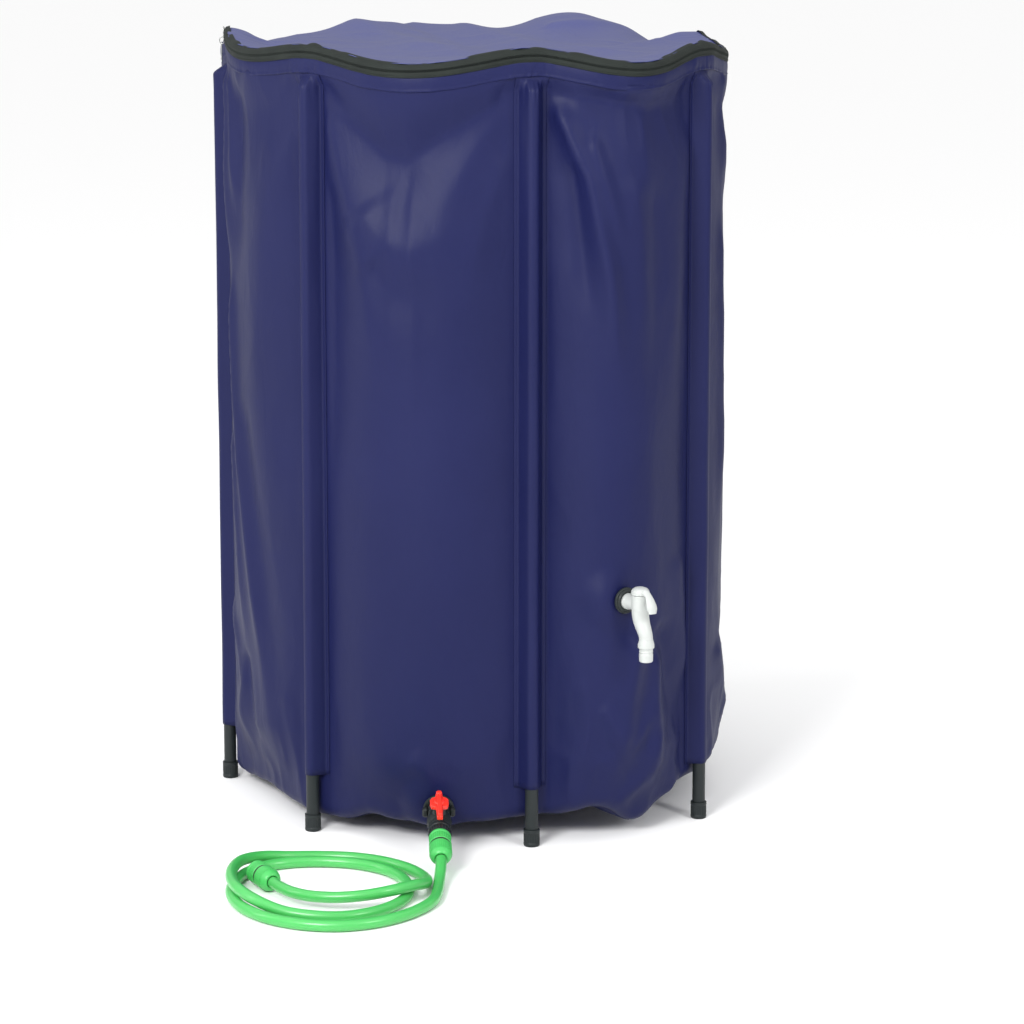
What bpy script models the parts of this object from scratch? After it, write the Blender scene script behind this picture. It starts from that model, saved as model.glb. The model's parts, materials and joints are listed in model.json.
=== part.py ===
"""Collapsible free-standing water tank: a soft PVC bag held up by eight plastic pipe legs.

The bag has a zipped lid, a white draw-off tap and, low at the front, a black ball valve with a
red handle that feeds a green garden hose through click-fit hose connectors.
Metres, +Z up. The tank faces -Y. The origin is on the ground under the middle of the tank.
"""
import math

import bmesh
import bpy
from mathutils import Matrix, Vector

# ---- driving dimensions -------------------------------------------------------------------
GAP = 0.0003                  # left between touching pieces
TANK_SHIFT = Vector((-0.0036, 0.0376, 0.0))    # leg ring centre from the origin

# legs: bearing from the front towards +X in degrees, and radius
LEG_RING = ((-89.0, 0.389), (-38.6, 0.384), (14.4, 0.395), (56.4, 0.436),
            (104.6, 0.398), (145.0, 0.415), (189.0, 0.410), (228.0, 0.400))
LEG_RADIUS = 0.010
LEG_BORE_RADIUS = 0.0082
LEG_TOP = 1.150
CAP_RADIUS = 0.0125
CAP_HEIGHT = 0.026
CAP_BASE = 0.003

# bag
CLOTH = 0.003                 # wall thickness of the plain cloth solids
SEAT_WIDTH = 0.050            # straight strip of wall behind each leg
SEAT_INSET = 0.0125           # leg axis to the wall's outer face
WALL_BOTTOM = 0.035
TUCK_HEIGHT = 0.130           # below this the wall slopes in
TUCK = 0.028
WALL_TOP = 1.155
# how far each stretch of wall bows out, near its first and its second leg
BOWS = ((0.030, 0.035), (0.070, 0.070), (0.092, 0.052), (0.040, 0.030),
        (0.045, 0.045), (0.050, 0.050), (0.045, 0.045), (0.050, 0.045))
LOBE_STEPS = 6
HEM_TOP = 1.1935              # at the legs
HEM_SAG = 0.022               # lower between the legs
ZIP_TAPE = 0.0040
ZIP_COIL = 0.0026
ZIP_DEPTH = 0.0022
LID_CREASE_Z = 1.2125         # axis on which the front half of the lid folds back
LID_PUFF = 0.022
LID_SHEET = 0.0018
LID_SEAM = 0.0040             # the lid's plain sheets lie this far over the rim
SLEEVE_BOTTOM = 0.090
SLEEVE_SHEET = 0.0012
SLEEVE_BULGE = 0.0108         # inner radius of the sleeve over the pipe
ROOF = 0.002

# drain valve, measured along its own axis from the wall's outer face
DRAIN_X = -0.048
DRAIN_HEIGHT = 0.066
DRAIN_FACING = 2.0            # degrees from the front towards +X
DRAIN_PAD = 0.056
DRAIN_SHANK = 0.0130
DRAIN_FLANGE = 0.0235
BODY_START, BODY_END = 0.0075, 0.062
BALL_AT = 0.042
BALL_RADIUS = 0.0125
BODY_RADIUS = 0.0185          # round the ball
BODY_NECK = 0.0162            # at both ends
BODY_BULGE = 0.0135           # half length of the swelling round the ball
CHAMBER = 0.0136
END_START, END_END = 0.0623, 0.0845
STEM_RADIUS = 0.004
HANDLE_BASE = 0.0275          # height of the handle over the valve's axis
NIPPLE_END = 0.104
CONNECTOR_LENGTH = 0.059
CONNECTOR_RADIUS = 0.0172

# tap
TAP_X = 0.237
TAP_HEIGHT = 0.385
TAP_FACING = 35.0
TAP_PAD = 0.048
TAP_SHANK = 0.0090
TAP_REACH = 0.040             # wall to the barrel's axis
BARREL_RADIUS = 0.0135
PLUG_RADIUS = 0.0085

# hose: route in the leg ring's own frame, chosen by hand
HOSE_RADIUS = 0.0083
HOSE_POINTS = 78
HOSE_ROUTE = (
    (-0.0387, -0.5381, 0.0283), (-0.0385, -0.5457, 0.0262), (-0.0388, -0.5580, 0.0222),
    (-0.0400, -0.5760, 0.0158), (-0.0412, -0.5970, 0.0107), (-0.0430, -0.6300, 0.0088),
    (-0.0500, -0.6720, 0.0087), (-0.0710, -0.7120, 0.0087),
    (-0.1020, -0.7450, 0.0087), (-0.1400, -0.7680, 0.0087), (-0.1850, -0.7780, 0.0087),
    (-0.2360, -0.7690, 0.0087), (-0.2830, -0.7420, 0.0087), (-0.3190, -0.7000, 0.0087),
    (-0.3390, -0.6500, 0.0087), (-0.3430, -0.5970, 0.0087), (-0.3300, -0.5450, 0.0087),
    (-0.3020, -0.5090, 0.0087), (-0.2620, -0.4900, 0.0087), (-0.2150, -0.4860, 0.0087),
    (-0.1680, -0.4960, 0.0087), (-0.1270, -0.5210, 0.0087), (-0.0990, -0.5590, 0.0087),
    (-0.0860, -0.6030, 0.0087), (-0.0870, -0.6480, 0.0087), (-0.1050, -0.6900, 0.0087),
    (-0.1370, -0.7220, 0.0087), (-0.1770, -0.7390, 0.0087), (-0.2180, -0.7410, 0.0107),
    (-0.2620, -0.7290, 0.0140), (-0.3020, -0.7030, 0.0220), (-0.3300, -0.6630, 0.0260),
    (-0.3430, -0.6160, 0.0260), (-0.3440, -0.5700, 0.0260), (-0.3330, -0.5250, 0.0240),
    (-0.3060, -0.4890, 0.0180), (-0.2660, -0.4680, 0.0110), (-0.2200, -0.4610, 0.0087),
    (-0.1700, -0.4680, 0.0087), (-0.1240, -0.4890, 0.0087), (-0.0860, -0.5230, 0.0087),
    (-0.0630, -0.5660, 0.0097), (-0.0600, -0.6120, 0.0170), (-0.0780, -0.6510, 0.0255),
    (-0.1090, -0.6770, 0.0265), (-0.1460, -0.6885, 0.0235), (-0.1860, -0.6875, 0.0202),
    (-0.2240, -0.6760, 0.0184), (-0.2520, -0.6560, 0.0176), (-0.2720, -0.6310, 0.0176),
    (-0.2830, -0.6100, 0.0176))
FAR_CONNECTOR_DIRECTION = (Vector(HOSE_ROUTE[-1]) - Vector(HOSE_ROUTE[-2])).normalized()

ROUND = 18                    # sides of a turned piece
SMALL_ROUND = 12
SEAM_MERGE = 0.00002          # slivers that a Boolean leaves are closed below this

for leftover in list(bpy.data.objects):
    bpy.data.objects.remove(leftover)

# ---- materials ----------------------------------------------------------------------------
FINISHES = {
    "blue_pvc": ((0.030, 0.034, 0.125), 0.38, 0.0),
    "blue_lid": ((0.110, 0.125, 0.300), 0.45, 0.0),
    "dark_pipe": ((0.035, 0.042, 0.043), 0.45, 0.0),
    "zip_fabric": ((0.030, 0.040, 0.040), 0.75, 0.0),
    "zip_metal": ((0.550, 0.560, 0.560), 0.30, 1.0),
    "grey_tape": ((0.320, 0.330, 0.330), 0.70, 0.0),
    "black_plastic": ((0.018, 0.022, 0.022), 0.45, 0.0),
    "red_plastic": ((0.800, 0.030, 0.015), 0.35, 0.0),
    "white_plastic": ((0.800, 0.810, 0.800), 0.35, 0.0),
    "green_hose": ((0.130, 0.780, 0.170), 0.35, 0.0),
    "green_plastic": ((0.040, 0.500, 0.100), 0.40, 0.0),
    "seal_rubber": ((0.015, 0.015, 0.015), 0.80, 0.0),
    "seat_white": ((0.750, 0.750, 0.730), 0.40, 0.0),
    "screw_steel": ((0.600, 0.600, 0.600), 0.30, 1.0),
}


def finish(name):
    """Return the named material, made on first use."""
    if name in bpy.data.materials:
        return bpy.data.materials[name]
    colour, roughness, metallic = FINISHES[name]
    material = bpy.data.materials.new(name)
    material.use_nodes = True
    shader = material.node_tree.nodes["Principled BSDF"]
    shader.inputs["Base Color"].default_value = (*colour, 1.0)
    shader.inputs["Roughness"].default_value = roughness
    shader.inputs["Metallic"].default_value = metallic
    return material


# ---- mesh helpers -------------------------------------------------------------------------
def add_object(name, bm, material, parent, place=None, smooth=True):
    """Make a named object from a bmesh, with its faces pointing out."""
    bmesh.ops.recalc_face_normals(bm, faces=bm.faces)
    mesh = bpy.data.meshes.new(name)
    bm.to_mesh(mesh)
    bm.free()
    if smooth:
        mesh.shade_smooth()
        mesh.set_sharp_from_angle(angle=math.radians(35))
    obj = bpy.data.objects.new(name, mesh)
    bpy.context.scene.collection.objects.link(obj)
    mesh.materials.append(finish(material))
    obj.parent = parent
    if place is not None:
        obj.matrix_basis = place
    return obj


def add_empty(name, parent, location=(0, 0, 0)):
    """A bare axis: pieces that move together hang from it."""
    empty = bpy.data.objects.new(name, None)
    bpy.context.scene.collection.objects.link(empty)
    empty.parent = parent
    empty.location = location
    return empty


def lathe(profile, sides=ROUND, closed=True):
    """Turn (radius, height) points round Z. A closed profile gives a ring or tube."""
    bm = bmesh.new()
    rings = []
    for radius, height in profile:
        if radius < 1e-6:
            rings.append([bm.verts.new((0, 0, height))])
            continue
        turns = [2 * math.pi * k / sides for k in range(sides)]
        rings.append([bm.verts.new((radius * math.cos(a), radius * math.sin(a), height))
                      for a in turns])
    pairs = list(zip(rings, rings[1:]))
    if closed:
        pairs.append((rings[-1], rings[0]))
    for low, high in pairs:
        for k in range(sides):
            n = (k + 1) % sides
            corners = [low[k % len(low)], low[n % len(low)],
                       high[n % len(high)], high[k % len(high)]]
            distinct = list(dict.fromkeys(corners))
            if len(distinct) > 2:
                bm.faces.new(distinct)
    return bm


def tube(outer, inner, start, end, sides=ROUND):
    """A plain pipe along Z."""
    return lathe([(outer, start), (outer, end), (inner, end), (inner, start)], sides)


def rod(radius, start, end, sides=ROUND):
    """A plain solid cylinder along Z."""
    return lathe([(0, start), (radius, start), (radius, end), (0, end)], sides, closed=False)


def block(low, high):
    """A box between two corners."""
    bm = bmesh.new()
    bmesh.ops.create_cube(bm, size=1.0)
    size = Vector(high) - Vector(low)
    middle = (Vector(high) + Vector(low)) / 2
    bmesh.ops.scale(bm, vec=size, verts=bm.verts)
    bmesh.ops.translate(bm, vec=middle, verts=bm.verts)
    return bm


def combine(obj, shape, operation="DIFFERENCE", place=None):
    """Cut a shape from an object, or join one to it, and keep the result as its mesh."""
    tool = add_object("tool", shape, "black_plastic", obj.parent, smooth=False)
    tool.matrix_basis = obj.matrix_basis if place is None else place
    boolean = obj.modifiers.new("combine", "BOOLEAN")
    boolean.operation = operation
    boolean.object = tool
    bpy.context.view_layer.update()
    evaluated = obj.evaluated_get(bpy.context.evaluated_depsgraph_get())
    result = bpy.data.meshes.new_from_object(evaluated)
    obj.modifiers.clear()
    while len(result.materials) > 1:
        result.materials.pop()
    seams = bmesh.new()
    seams.from_mesh(result)
    bmesh.ops.remove_doubles(seams, verts=seams.verts, dist=SEAM_MERGE)
    bmesh.ops.dissolve_degenerate(seams, edges=seams.edges, dist=SEAM_MERGE)
    seams.to_mesh(result)
    seams.free()
    obj.data = result
    result.name = obj.name
    bpy.data.objects.remove(tool)
    result.shade_smooth()
    result.set_sharp_from_angle(angle=math.radians(35))
    return obj


def frame_along(origin, direction, up):
    """A local frame whose Z runs along direction and whose Y leans towards up."""
    z = Vector(direction).normalized()
    x = Vector(up).cross(z).normalized()
    y = z.cross(x)
    return Matrix.Translation(origin) @ Matrix((x, y, z)).transposed().to_4x4()


# ---- the wall's plan ----------------------------------------------------------------------
def compass(bearing):
    """Unit vector at a bearing from the front (-Y) towards +X."""
    angle = math.radians(bearing)
    return Vector((math.sin(angle), -math.cos(angle), 0))


LEG_PLACES = [compass(bearing) * radius for bearing, radius in LEG_RING]


def seat_ends(index):
    """Both ends of the straight strip of wall behind a leg."""
    outward = compass(LEG_RING[index][0])
    along = Vector((-outward.y, outward.x, 0))
    middle = LEG_PLACES[index] - outward * SEAT_INSET
    return middle - along * SEAT_WIDTH / 2, middle + along * SEAT_WIDTH / 2


def lobe_curve(index):
    """Bezier points of the wall between one leg's strip and the next one's."""
    start = seat_ends(index)[1]
    end = seat_ends((index + 1) % 8)[0]
    chord = (end - start).normalized()
    outward = Vector((chord.y, -chord.x, 0))
    first, second = BOWS[index]
    return start, start + outward * first * 4 / 3, end + outward * second * 4 / 3, end, outward


def on_lobe(curve, t):
    """Point of a lobe's Bezier at t."""
    a, b, c, d, _ = curve
    s = 1 - t
    return a * s ** 3 + b * 3 * s * s * t + c * 3 * s * t * t + d * t ** 3


def lobe_at_x(index, x):
    """The point of a lobe at a given X, found by halving."""
    curve = lobe_curve(index)
    low, high = 0.0, 1.0
    for _ in range(30):
        middle = (low + high) / 2
        if on_lobe(curve, middle).x < x:
            low = middle
        else:
            high = middle
    return on_lobe(curve, low), low


# flat pads in the wall that the two fittings are clamped to: (lobe, x, facing, width)
PADS = {1: (DRAIN_X, DRAIN_FACING, DRAIN_PAD), 2: (TAP_X, TAP_FACING, TAP_PAD)}


def wall_plan(height):
    """The wall's outer outline at a height: points, outward directions and rim heights."""
    points, rims = [], []
    drop = max(0.0, (TUCK_HEIGHT - height) / (TUCK_HEIGHT - WALL_BOTTOM)) * TUCK
    for index in range(8):
        start, end = seat_ends(index)
        points += [start, end]
        rims += [HEM_TOP, HEM_TOP]
        curve = lobe_curve(index)
        outward = curve[4]
        pad = PADS.get(index)
        centre, t_pad, facing = None, None, None
        if pad:
            centre, t_pad = lobe_at_x(index, pad[0])
            facing = compass(pad[1])
            side = Vector((-facing.y, facing.x, 0)) * pad[2] / 2
            centre = centre - outward * drop * math.sin(math.pi * t_pad)
        pad_done = False
        for step in range(1, LOBE_STEPS):
            t = step / LOBE_STEPS
            point = on_lobe(curve, t) - outward * drop * math.sin(math.pi * t)
            if pad and abs((point - centre).dot(side)) < side.length_squared * 1.25:
                continue
            if pad and not pad_done and t > t_pad:
                points += [centre - side, centre + side]
                rims += [HEM_TOP - HEM_SAG * math.sin(math.pi * t_pad)] * 2
                pad_done = True
            points.append(point)
            rims.append(HEM_TOP - HEM_SAG * math.sin(math.pi * t))
    return points, rims


def offset_plan(points, distance):
    """The same outline moved outwards by a distance, square to its own edges."""
    moved = []
    for k, point in enumerate(points):
        before = (point - points[k - 1]).normalized()
        after = (points[(k + 1) % len(points)] - point).normalized()
        n1, n2 = Vector((before.y, -before.x, 0)), Vector((after.y, -after.x, 0))
        moved.append(point + (n1 + n2) * distance / (1 + n1.dot(n2)))
    return moved


TOP_PLAN, RIM = wall_plan(WALL_TOP)


def ring_solid(rows, thickness, closed=True):
    """A thin wall from rows of (points, heights); its inner face is offset inwards."""
    bm = bmesh.new()
    outer, inner = [], []
    for points, heights in rows:
        inside = offset_plan(points, -thickness)
        outer.append([bm.verts.new((p.x, p.y, z)) for p, z in zip(points, heights)])
        inner.append([bm.verts.new((p.x, p.y, z)) for p, z in zip(inside, heights)])
    count = len(outer[0])
    for k in range(count if closed else count - 1):
        n = (k + 1) % count
        for low, high in zip(outer, outer[1:]):
            bm.faces.new((low[k], low[n], high[n], high[k]))
        for low, high in zip(inner, inner[1:]):
            bm.faces.new((low[n], low[k], high[k], high[n]))
        bm.faces.new((outer[-1][k], outer[-1][n], inner[-1][n], inner[-1][k]))
        bm.faces.new((outer[0][n], outer[0][k], inner[0][k], inner[0][n]))
    if not closed:
        for end in (0, -1):
            left = [row[end] for row in outer]
            right = [row[end] for row in reversed(inner)]
            bm.faces.new(left + right)
    return bm


# the front half of the rim, from leg 1's strip round to leg 5's, carries the zip
def strip_index(leg, end):
    """Place in TOP_PLAN of one end of a leg's strip."""
    target = seat_ends(leg)[end]
    return min(range(len(TOP_PLAN)), key=lambda k: (TOP_PLAN[k] - target).length)


ZIP_FIRST = strip_index(0, 1)
ZIP_LAST = strip_index(4, 0)


def front_ribbon(low, high, thickness, outward=0.0):
    """A ribbon on the front rim between two heights over the hem's top."""
    plan = offset_plan(TOP_PLAN, outward)[ZIP_FIRST:ZIP_LAST + 1]
    rims = RIM[ZIP_FIRST:ZIP_LAST + 1]
    inside = offset_plan(TOP_PLAN, outward - thickness)[ZIP_FIRST:ZIP_LAST + 1]
    bm = bmesh.new()
    rings = []
    for out, inn, rim in zip(plan, inside, rims):
        corners = ((out, rim + low), (out, rim + high), (inn, rim + high), (inn, rim + low))
        rings.append([bm.verts.new((p.x, p.y, z)) for p, z in corners])
    for a, b in zip(rings, rings[1:]):
        for k in range(4):
            n = (k + 1) % 4
            bm.faces.new((a[k], b[k], b[n], a[n]))
    bm.faces.new(rings[0])
    bm.faces.new(list(reversed(rings[-1])))
    return bm


def sheet_solid(rows, thickness):
    """A closed sheet from a grid of points, thickened downwards."""
    bm = bmesh.new()
    down = Vector((0, 0, -thickness))
    top = [[bm.verts.new(p) for p in row] for row in rows]
    under = [[bm.verts.new(p + down) for p in row] for row in rows]
    for i in range(len(rows) - 1):
        for j in range(len(rows[0]) - 1):
            bm.faces.new((top[i][j], top[i][j + 1], top[i + 1][j + 1], top[i + 1][j]))
            bm.faces.new((under[i][j], under[i + 1][j], under[i + 1][j + 1], under[i][j + 1]))
    edge = top[0] + [r[-1] for r in top[1:-1]] + top[-1][::-1] + [r[0] for r in top[-2:0:-1]]
    base = under[0] + [r[-1] for r in under[1:-1]] + under[-1][::-1]
    base += [r[0] for r in under[-2:0:-1]]
    for k in range(len(edge)):
        n = (k + 1) % len(edge)
        bm.faces.new((edge[k], edge[n], base[n], base[k]))
    return bm


# ---- legs and sleeves ---------------------------------------------------------------------
def make_leg(index, tank):
    """A pipe leg and its foot cap on their own sliding axis, and the sleeve round them."""
    place = LEG_PLACES[index]
    outward = compass(LEG_RING[index][0])
    axis = add_empty(f"leg_{index + 1}_axis", tank, place)
    pipe = tube(LEG_RADIUS, LEG_BORE_RADIUS, CAP_BASE + GAP, LEG_TOP, SMALL_ROUND)
    add_object(f"leg_{index + 1}", pipe, "dark_pipe", axis)
    socket = LEG_RADIUS + GAP
    cup = [(0, 0), (CAP_RADIUS - 0.001, 0), (CAP_RADIUS, 0.001), (CAP_RADIUS, CAP_HEIGHT - 0.001),
           (CAP_RADIUS - 0.001, CAP_HEIGHT), (socket, CAP_HEIGHT), (socket, CAP_BASE), (0, CAP_BASE)]
    add_object(f"foot_cap_{index + 1}", lathe(cup, SMALL_ROUND, closed=False), "dark_pipe", axis)
    facing = Matrix.Translation(place) @ Matrix.Rotation(math.radians(LEG_RING[index][0]), 4, "Z")
    add_object(f"leg_sleeve_{index + 1}", sleeve(), "blue_pvc", tank, facing)


def sleeve():
    """A welded strip that tents over the pipe, closed over the pipe's top. It faces local -Y."""
    base = SEAT_INSET - GAP              # the wall's face from the pipe's axis
    half = SEAT_WIDTH / 2

    def tent(radius, foot):
        """Outline from one foot over the pipe to the other: x, and depth outwards."""
        reach = math.hypot(foot, base)
        lean = math.atan2(-base, foot) + math.acos(radius / reach)
        turns = [lean + (math.pi - 2 * lean) * k / 8 for k in range(9)]
        arc = [(radius * math.cos(a), radius * math.sin(a)) for a in turns]
        return [(foot, -base)] + arc + [(-foot, -base)]

    inner = tent(SLEEVE_BULGE, half - 0.0022)
    outer = tent(SLEEVE_BULGE + SLEEVE_SHEET, half - 0.0002)
    bm = bmesh.new()
    ceiling, top = LEG_TOP + GAP, LEG_TOP + GAP + ROOF

    def row(points, height):
        """Vertices of one outline at a height; depth runs towards local -Y."""
        return [bm.verts.new((x, -depth, height)) for x, depth in points]

    outer_low, outer_high = row(outer, SLEEVE_BOTTOM), row(outer, top)
    inner_low, inner_high = row(inner, SLEEVE_BOTTOM), row(inner, ceiling)
    for k in range(len(outer) - 1):
        bm.faces.new((outer_low[k], outer_low[k + 1], outer_high[k + 1], outer_high[k]))
        bm.faces.new((inner_low[k + 1], inner_low[k], inner_high[k], inner_high[k + 1]))
        bm.faces.new((outer_low[k + 1], outer_low[k], inner_low[k], inner_low[k + 1]))
    bm.faces.new(inner_high)
    bm.faces.new(outer_high)
    bm.faces.new((outer_low[0], outer_high[0], inner_high[0], inner_low[0]))
    bm.faces.new((outer_low[-1], inner_low[-1], inner_high[-1], outer_high[-1]))
    bm.faces.new((inner_high[0], outer_high[0], outer_high[-1], inner_high[-1]))
    return bm


# ---- bag ----------------------------------------------------------------------------------
def make_bag(tank):
    """The wall with its two fitting holes, the floor panel and the hem."""
    rows = []
    for height in (WALL_BOTTOM, TUCK_HEIGHT, WALL_TOP):
        points, _ = wall_plan(height)
        rows.append((points, [height] * len(points)))
    wall = add_object("tank_wall", ring_solid(rows, CLOTH), "blue_pvc", tank, smooth=False)
    hole = 0.02
    combine(wall, rod(DRAIN_SHANK + GAP, -hole, hole), place=DRAIN_FRAME)
    combine(wall, rod(TAP_SHANK + GAP, -hole, hole), place=TAP_FRAME)
    floor_plan = offset_plan(wall_plan(WALL_BOTTOM)[0], -CLOTH - 2 * GAP)
    bm = bmesh.new()
    lows = [bm.verts.new((p.x, p.y, WALL_BOTTOM)) for p in floor_plan]
    highs = [bm.verts.new((p.x, p.y, WALL_BOTTOM + CLOTH)) for p in floor_plan]
    bm.faces.new(lows)
    bm.faces.new(highs)
    for k in range(len(lows)):
        n = (k + 1) % len(lows)
        bm.faces.new((lows[k], lows[n], highs[n], highs[k]))
    add_object("tank_floor", bm, "blue_pvc", tank, smooth=False)
    hem_low = [WALL_TOP + GAP] * len(TOP_PLAN)
    hem = ring_solid([(TOP_PLAN, hem_low), (TOP_PLAN, RIM)], CLOTH)
    add_object("rim_hem", hem, "blue_pvc", tank, smooth=False)


def crease_shares(points, margin):
    """Where rows of the lid that end at these rim points start on the crease, from 0 to 1."""
    length = (CREASE_END - CREASE_START).length
    last = len(points) - 1
    shares = []
    for k, point in enumerate(points):
        share = (point - CREASE_START).dot(CREASE_ALONG) / length
        shares.append(min(max(share, margin * (1 + k)), 1 - margin * (1 + last - k)))
    return shares


def make_zip_and_lid(tank):
    """Two zip halves on the front rim, the folding front of the lid and its fixed back."""
    start = seat_ends(0)[1]
    end = seat_ends(4)[0]
    levels = [GAP]
    for size in (ZIP_TAPE, ZIP_COIL, ZIP_COIL, ZIP_TAPE):
        levels.append(levels[-1] + size + GAP)
    add_object("zip_tape_lower", front_ribbon(levels[0], levels[1] - GAP, ZIP_DEPTH),
               "zip_fabric", tank)
    add_object("zip_teeth_lower", front_ribbon(levels[1], levels[2] - GAP, 0.003, 0.0006),
               "zip_fabric", tank)
    crease = add_empty("lid_crease_axis", tank, CREASE_MIDDLE)
    back = Matrix.Translation(-CREASE_MIDDLE)
    add_object("zip_teeth_upper", front_ribbon(levels[2], levels[3] - GAP, 0.003, 0.0006),
               "zip_fabric", crease, back)
    add_object("zip_tape_upper", front_ribbon(levels[3], levels[4] - GAP, ZIP_DEPTH), "zip_fabric",
               crease, back)

    inward = Vector((CREASE_ALONG.y, -CREASE_ALONG.x, 0))
    over_zip = levels[4] + LID_SEAM + LID_SHEET
    front = TOP_PLAN[ZIP_FIRST + 1:ZIP_LAST]
    rims = RIM[ZIP_FIRST + 1:ZIP_LAST]
    shares = crease_shares(front, 0.008)
    crown = ((0.0, 0.0), (0.5, 0.006), (0.85, 0.006), (1.0, 0.0))
    rows = [[] for _ in crown]
    for point, rim, share in zip(front, rims, shares):
        on_crease = start + (end - start) * share + inward * 0.002
        far = Vector((point.x, point.y, rim + over_zip))
        near = Vector((on_crease.x, on_crease.y, LID_CREASE_Z + 0.001))
        for row, (part, lift) in zip(rows, crown):
            row.append(near.lerp(far, part) + Vector((0, 0, lift)))
    add_object("lid_flap", sheet_solid(rows, LID_SHEET), "blue_lid", crease, back)

    behind = TOP_PLAN[strip_index(4, 1):] + TOP_PLAN[:1]
    behind_rims = RIM[strip_index(4, 1):] + RIM[:1]
    parts = (0.0, 0.25, 0.5, 0.75, 1.0)
    rows = [[] for _ in parts]
    behind, behind_rims = behind[::-1], behind_rims[::-1]
    for point, rim, share in zip(behind, behind_rims, crease_shares(behind, 0.012)):
        near = start + (end - start) * share - inward * 0.008
        near.z = LID_CREASE_Z - 0.001
        far = Vector((point.x, point.y, rim + LID_SEAM + LID_SHEET))
        for row, part in zip(rows, parts):
            lift = Vector((0, 0, LID_PUFF * math.sin(math.pi * part ** 1.5)))
            row.append(near.lerp(far, part) + lift * math.sin(math.pi * share) ** 0.5)
    add_object("lid_back", sheet_solid(rows, LID_SHEET), "blue_lid", tank)


CREASE_START = seat_ends(0)[1]
CREASE_END = seat_ends(4)[0]
CREASE_ALONG = (CREASE_END - CREASE_START).normalized()
CREASE_MIDDLE = (CREASE_START + CREASE_END) / 2 + Vector((0, 0, LID_CREASE_Z))


def make_zip_slider(tank):
    """The slider parked at the left end of the zip, with its hanging pull, and the end tape."""
    outward = compass(LEG_RING[0][0])
    top = HEM_TOP + 0.004
    place = Matrix.Translation(seat_ends(0)[0].lerp(seat_ends(0)[1], 0.85)) @ Matrix.Rotation(
        math.atan2(outward.x, -outward.y), 4, "Z")
    body = block((-0.007, -0.0070, top - 0.0035), (0.007, 0.0035, top + 0.0115))
    slider = add_object("zip_slider", body, "zip_metal", tank, place, smooth=False)
    combine(slider, block((-0.008, -0.0026, top - 0.0045), (0.008, 0.0012, top + 0.0090)))
    pin_depth, pin_height = -0.0095, top + 0.0040
    bail = block((-0.0016, -0.0130, pin_height - 0.0035), (0.0016, -0.0065, pin_height + 0.0035))
    eye = block((-0.0050, -0.0115, pin_height - 0.0022), (0.0050, -0.0075, pin_height + 0.0022))
    combine(slider, bail, "UNION")
    combine(slider, eye)
    axis = add_empty("zip_pull_axis", tank, place @ Vector((0, pin_depth, pin_height)))
    axis.rotation_euler = (0, 0, math.atan2(outward.x, -outward.y))
    tab = block((-0.0042, -0.0011, -0.031), (0.0042, 0.0011, 0.0010))
    pull = add_object("zip_pull", tab, "zip_metal", axis, smooth=False)
    combine(pull, block((-0.0022, -0.0030, -0.0100), (0.0022, 0.0030, -0.0010)))
    combine(pull, block((-0.0022, -0.0030, -0.0270), (0.0022, 0.0030, -0.0140)))
    end_out = compass(LEG_RING[4][0])
    end_place = Matrix.Translation(seat_ends(4)[0].lerp(seat_ends(4)[1], 0.30)) @ Matrix.Rotation(
        math.atan2(end_out.x, -end_out.y), 4, "Z")
    tape = block((-0.007, -0.0022, HEM_TOP - 0.006), (0.007, -0.0004, HEM_TOP + 0.0125))
    add_object("zip_end_tape", tape, "grey_tape", tank, end_place, smooth=False)


# ---- drain valve --------------------------------------------------------------------------
def pad_frame(lobe, height, sloped):
    """Local frame of a fitting: origin on the wall's outer face, Z square out of the wall."""
    x, facing, _ = PADS[lobe]
    centre, t = lobe_at_x(lobe, x)
    out = compass(facing)
    if not sloped:
        return frame_along(centre + Vector((0, 0, height)), out, (0, 0, 1))
    outward = lobe_curve(lobe)[4]
    shift = outward * TUCK * math.sin(math.pi * t)
    up_slope = shift + Vector((0, 0, TUCK_HEIGHT - WALL_BOTTOM))
    side = Vector((-out.y, out.x, 0))
    normal = side.cross(up_slope).normalized()
    part = (TUCK_HEIGHT - height) / (TUCK_HEIGHT - WALL_BOTTOM)
    return frame_along(centre - shift * part + Vector((0, 0, height)), normal, (0, 0, 1))


DRAIN_FRAME = pad_frame(1, DRAIN_HEIGHT, True)
TAP_FRAME = pad_frame(2, TAP_HEIGHT, False)


def hexagon_nut(across, bore, start, end):
    """A six-sided nut along Z with a round bore."""
    bm = bmesh.new()
    rings = []
    for radius, height in ((across, start), (across, end), (bore, end), (bore, start)):
        ring = []
        for k in range(ROUND):
            angle = 2 * math.pi * k / ROUND
            reach = radius
            if radius == across:
                fold = (angle + math.pi / 6) % (math.pi / 3) - math.pi / 6
                reach = across * math.cos(math.pi / 6) / math.cos(fold)
            ring.append(bm.verts.new((reach * math.cos(angle), reach * math.sin(angle), height)))
        rings.append(ring)
    for low, high in zip(rings, rings[1:] + rings[:1]):
        for k in range(ROUND):
            n = (k + 1) % ROUND
            bm.faces.new((low[k], low[n], high[n], high[k]))
    return bm


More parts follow.
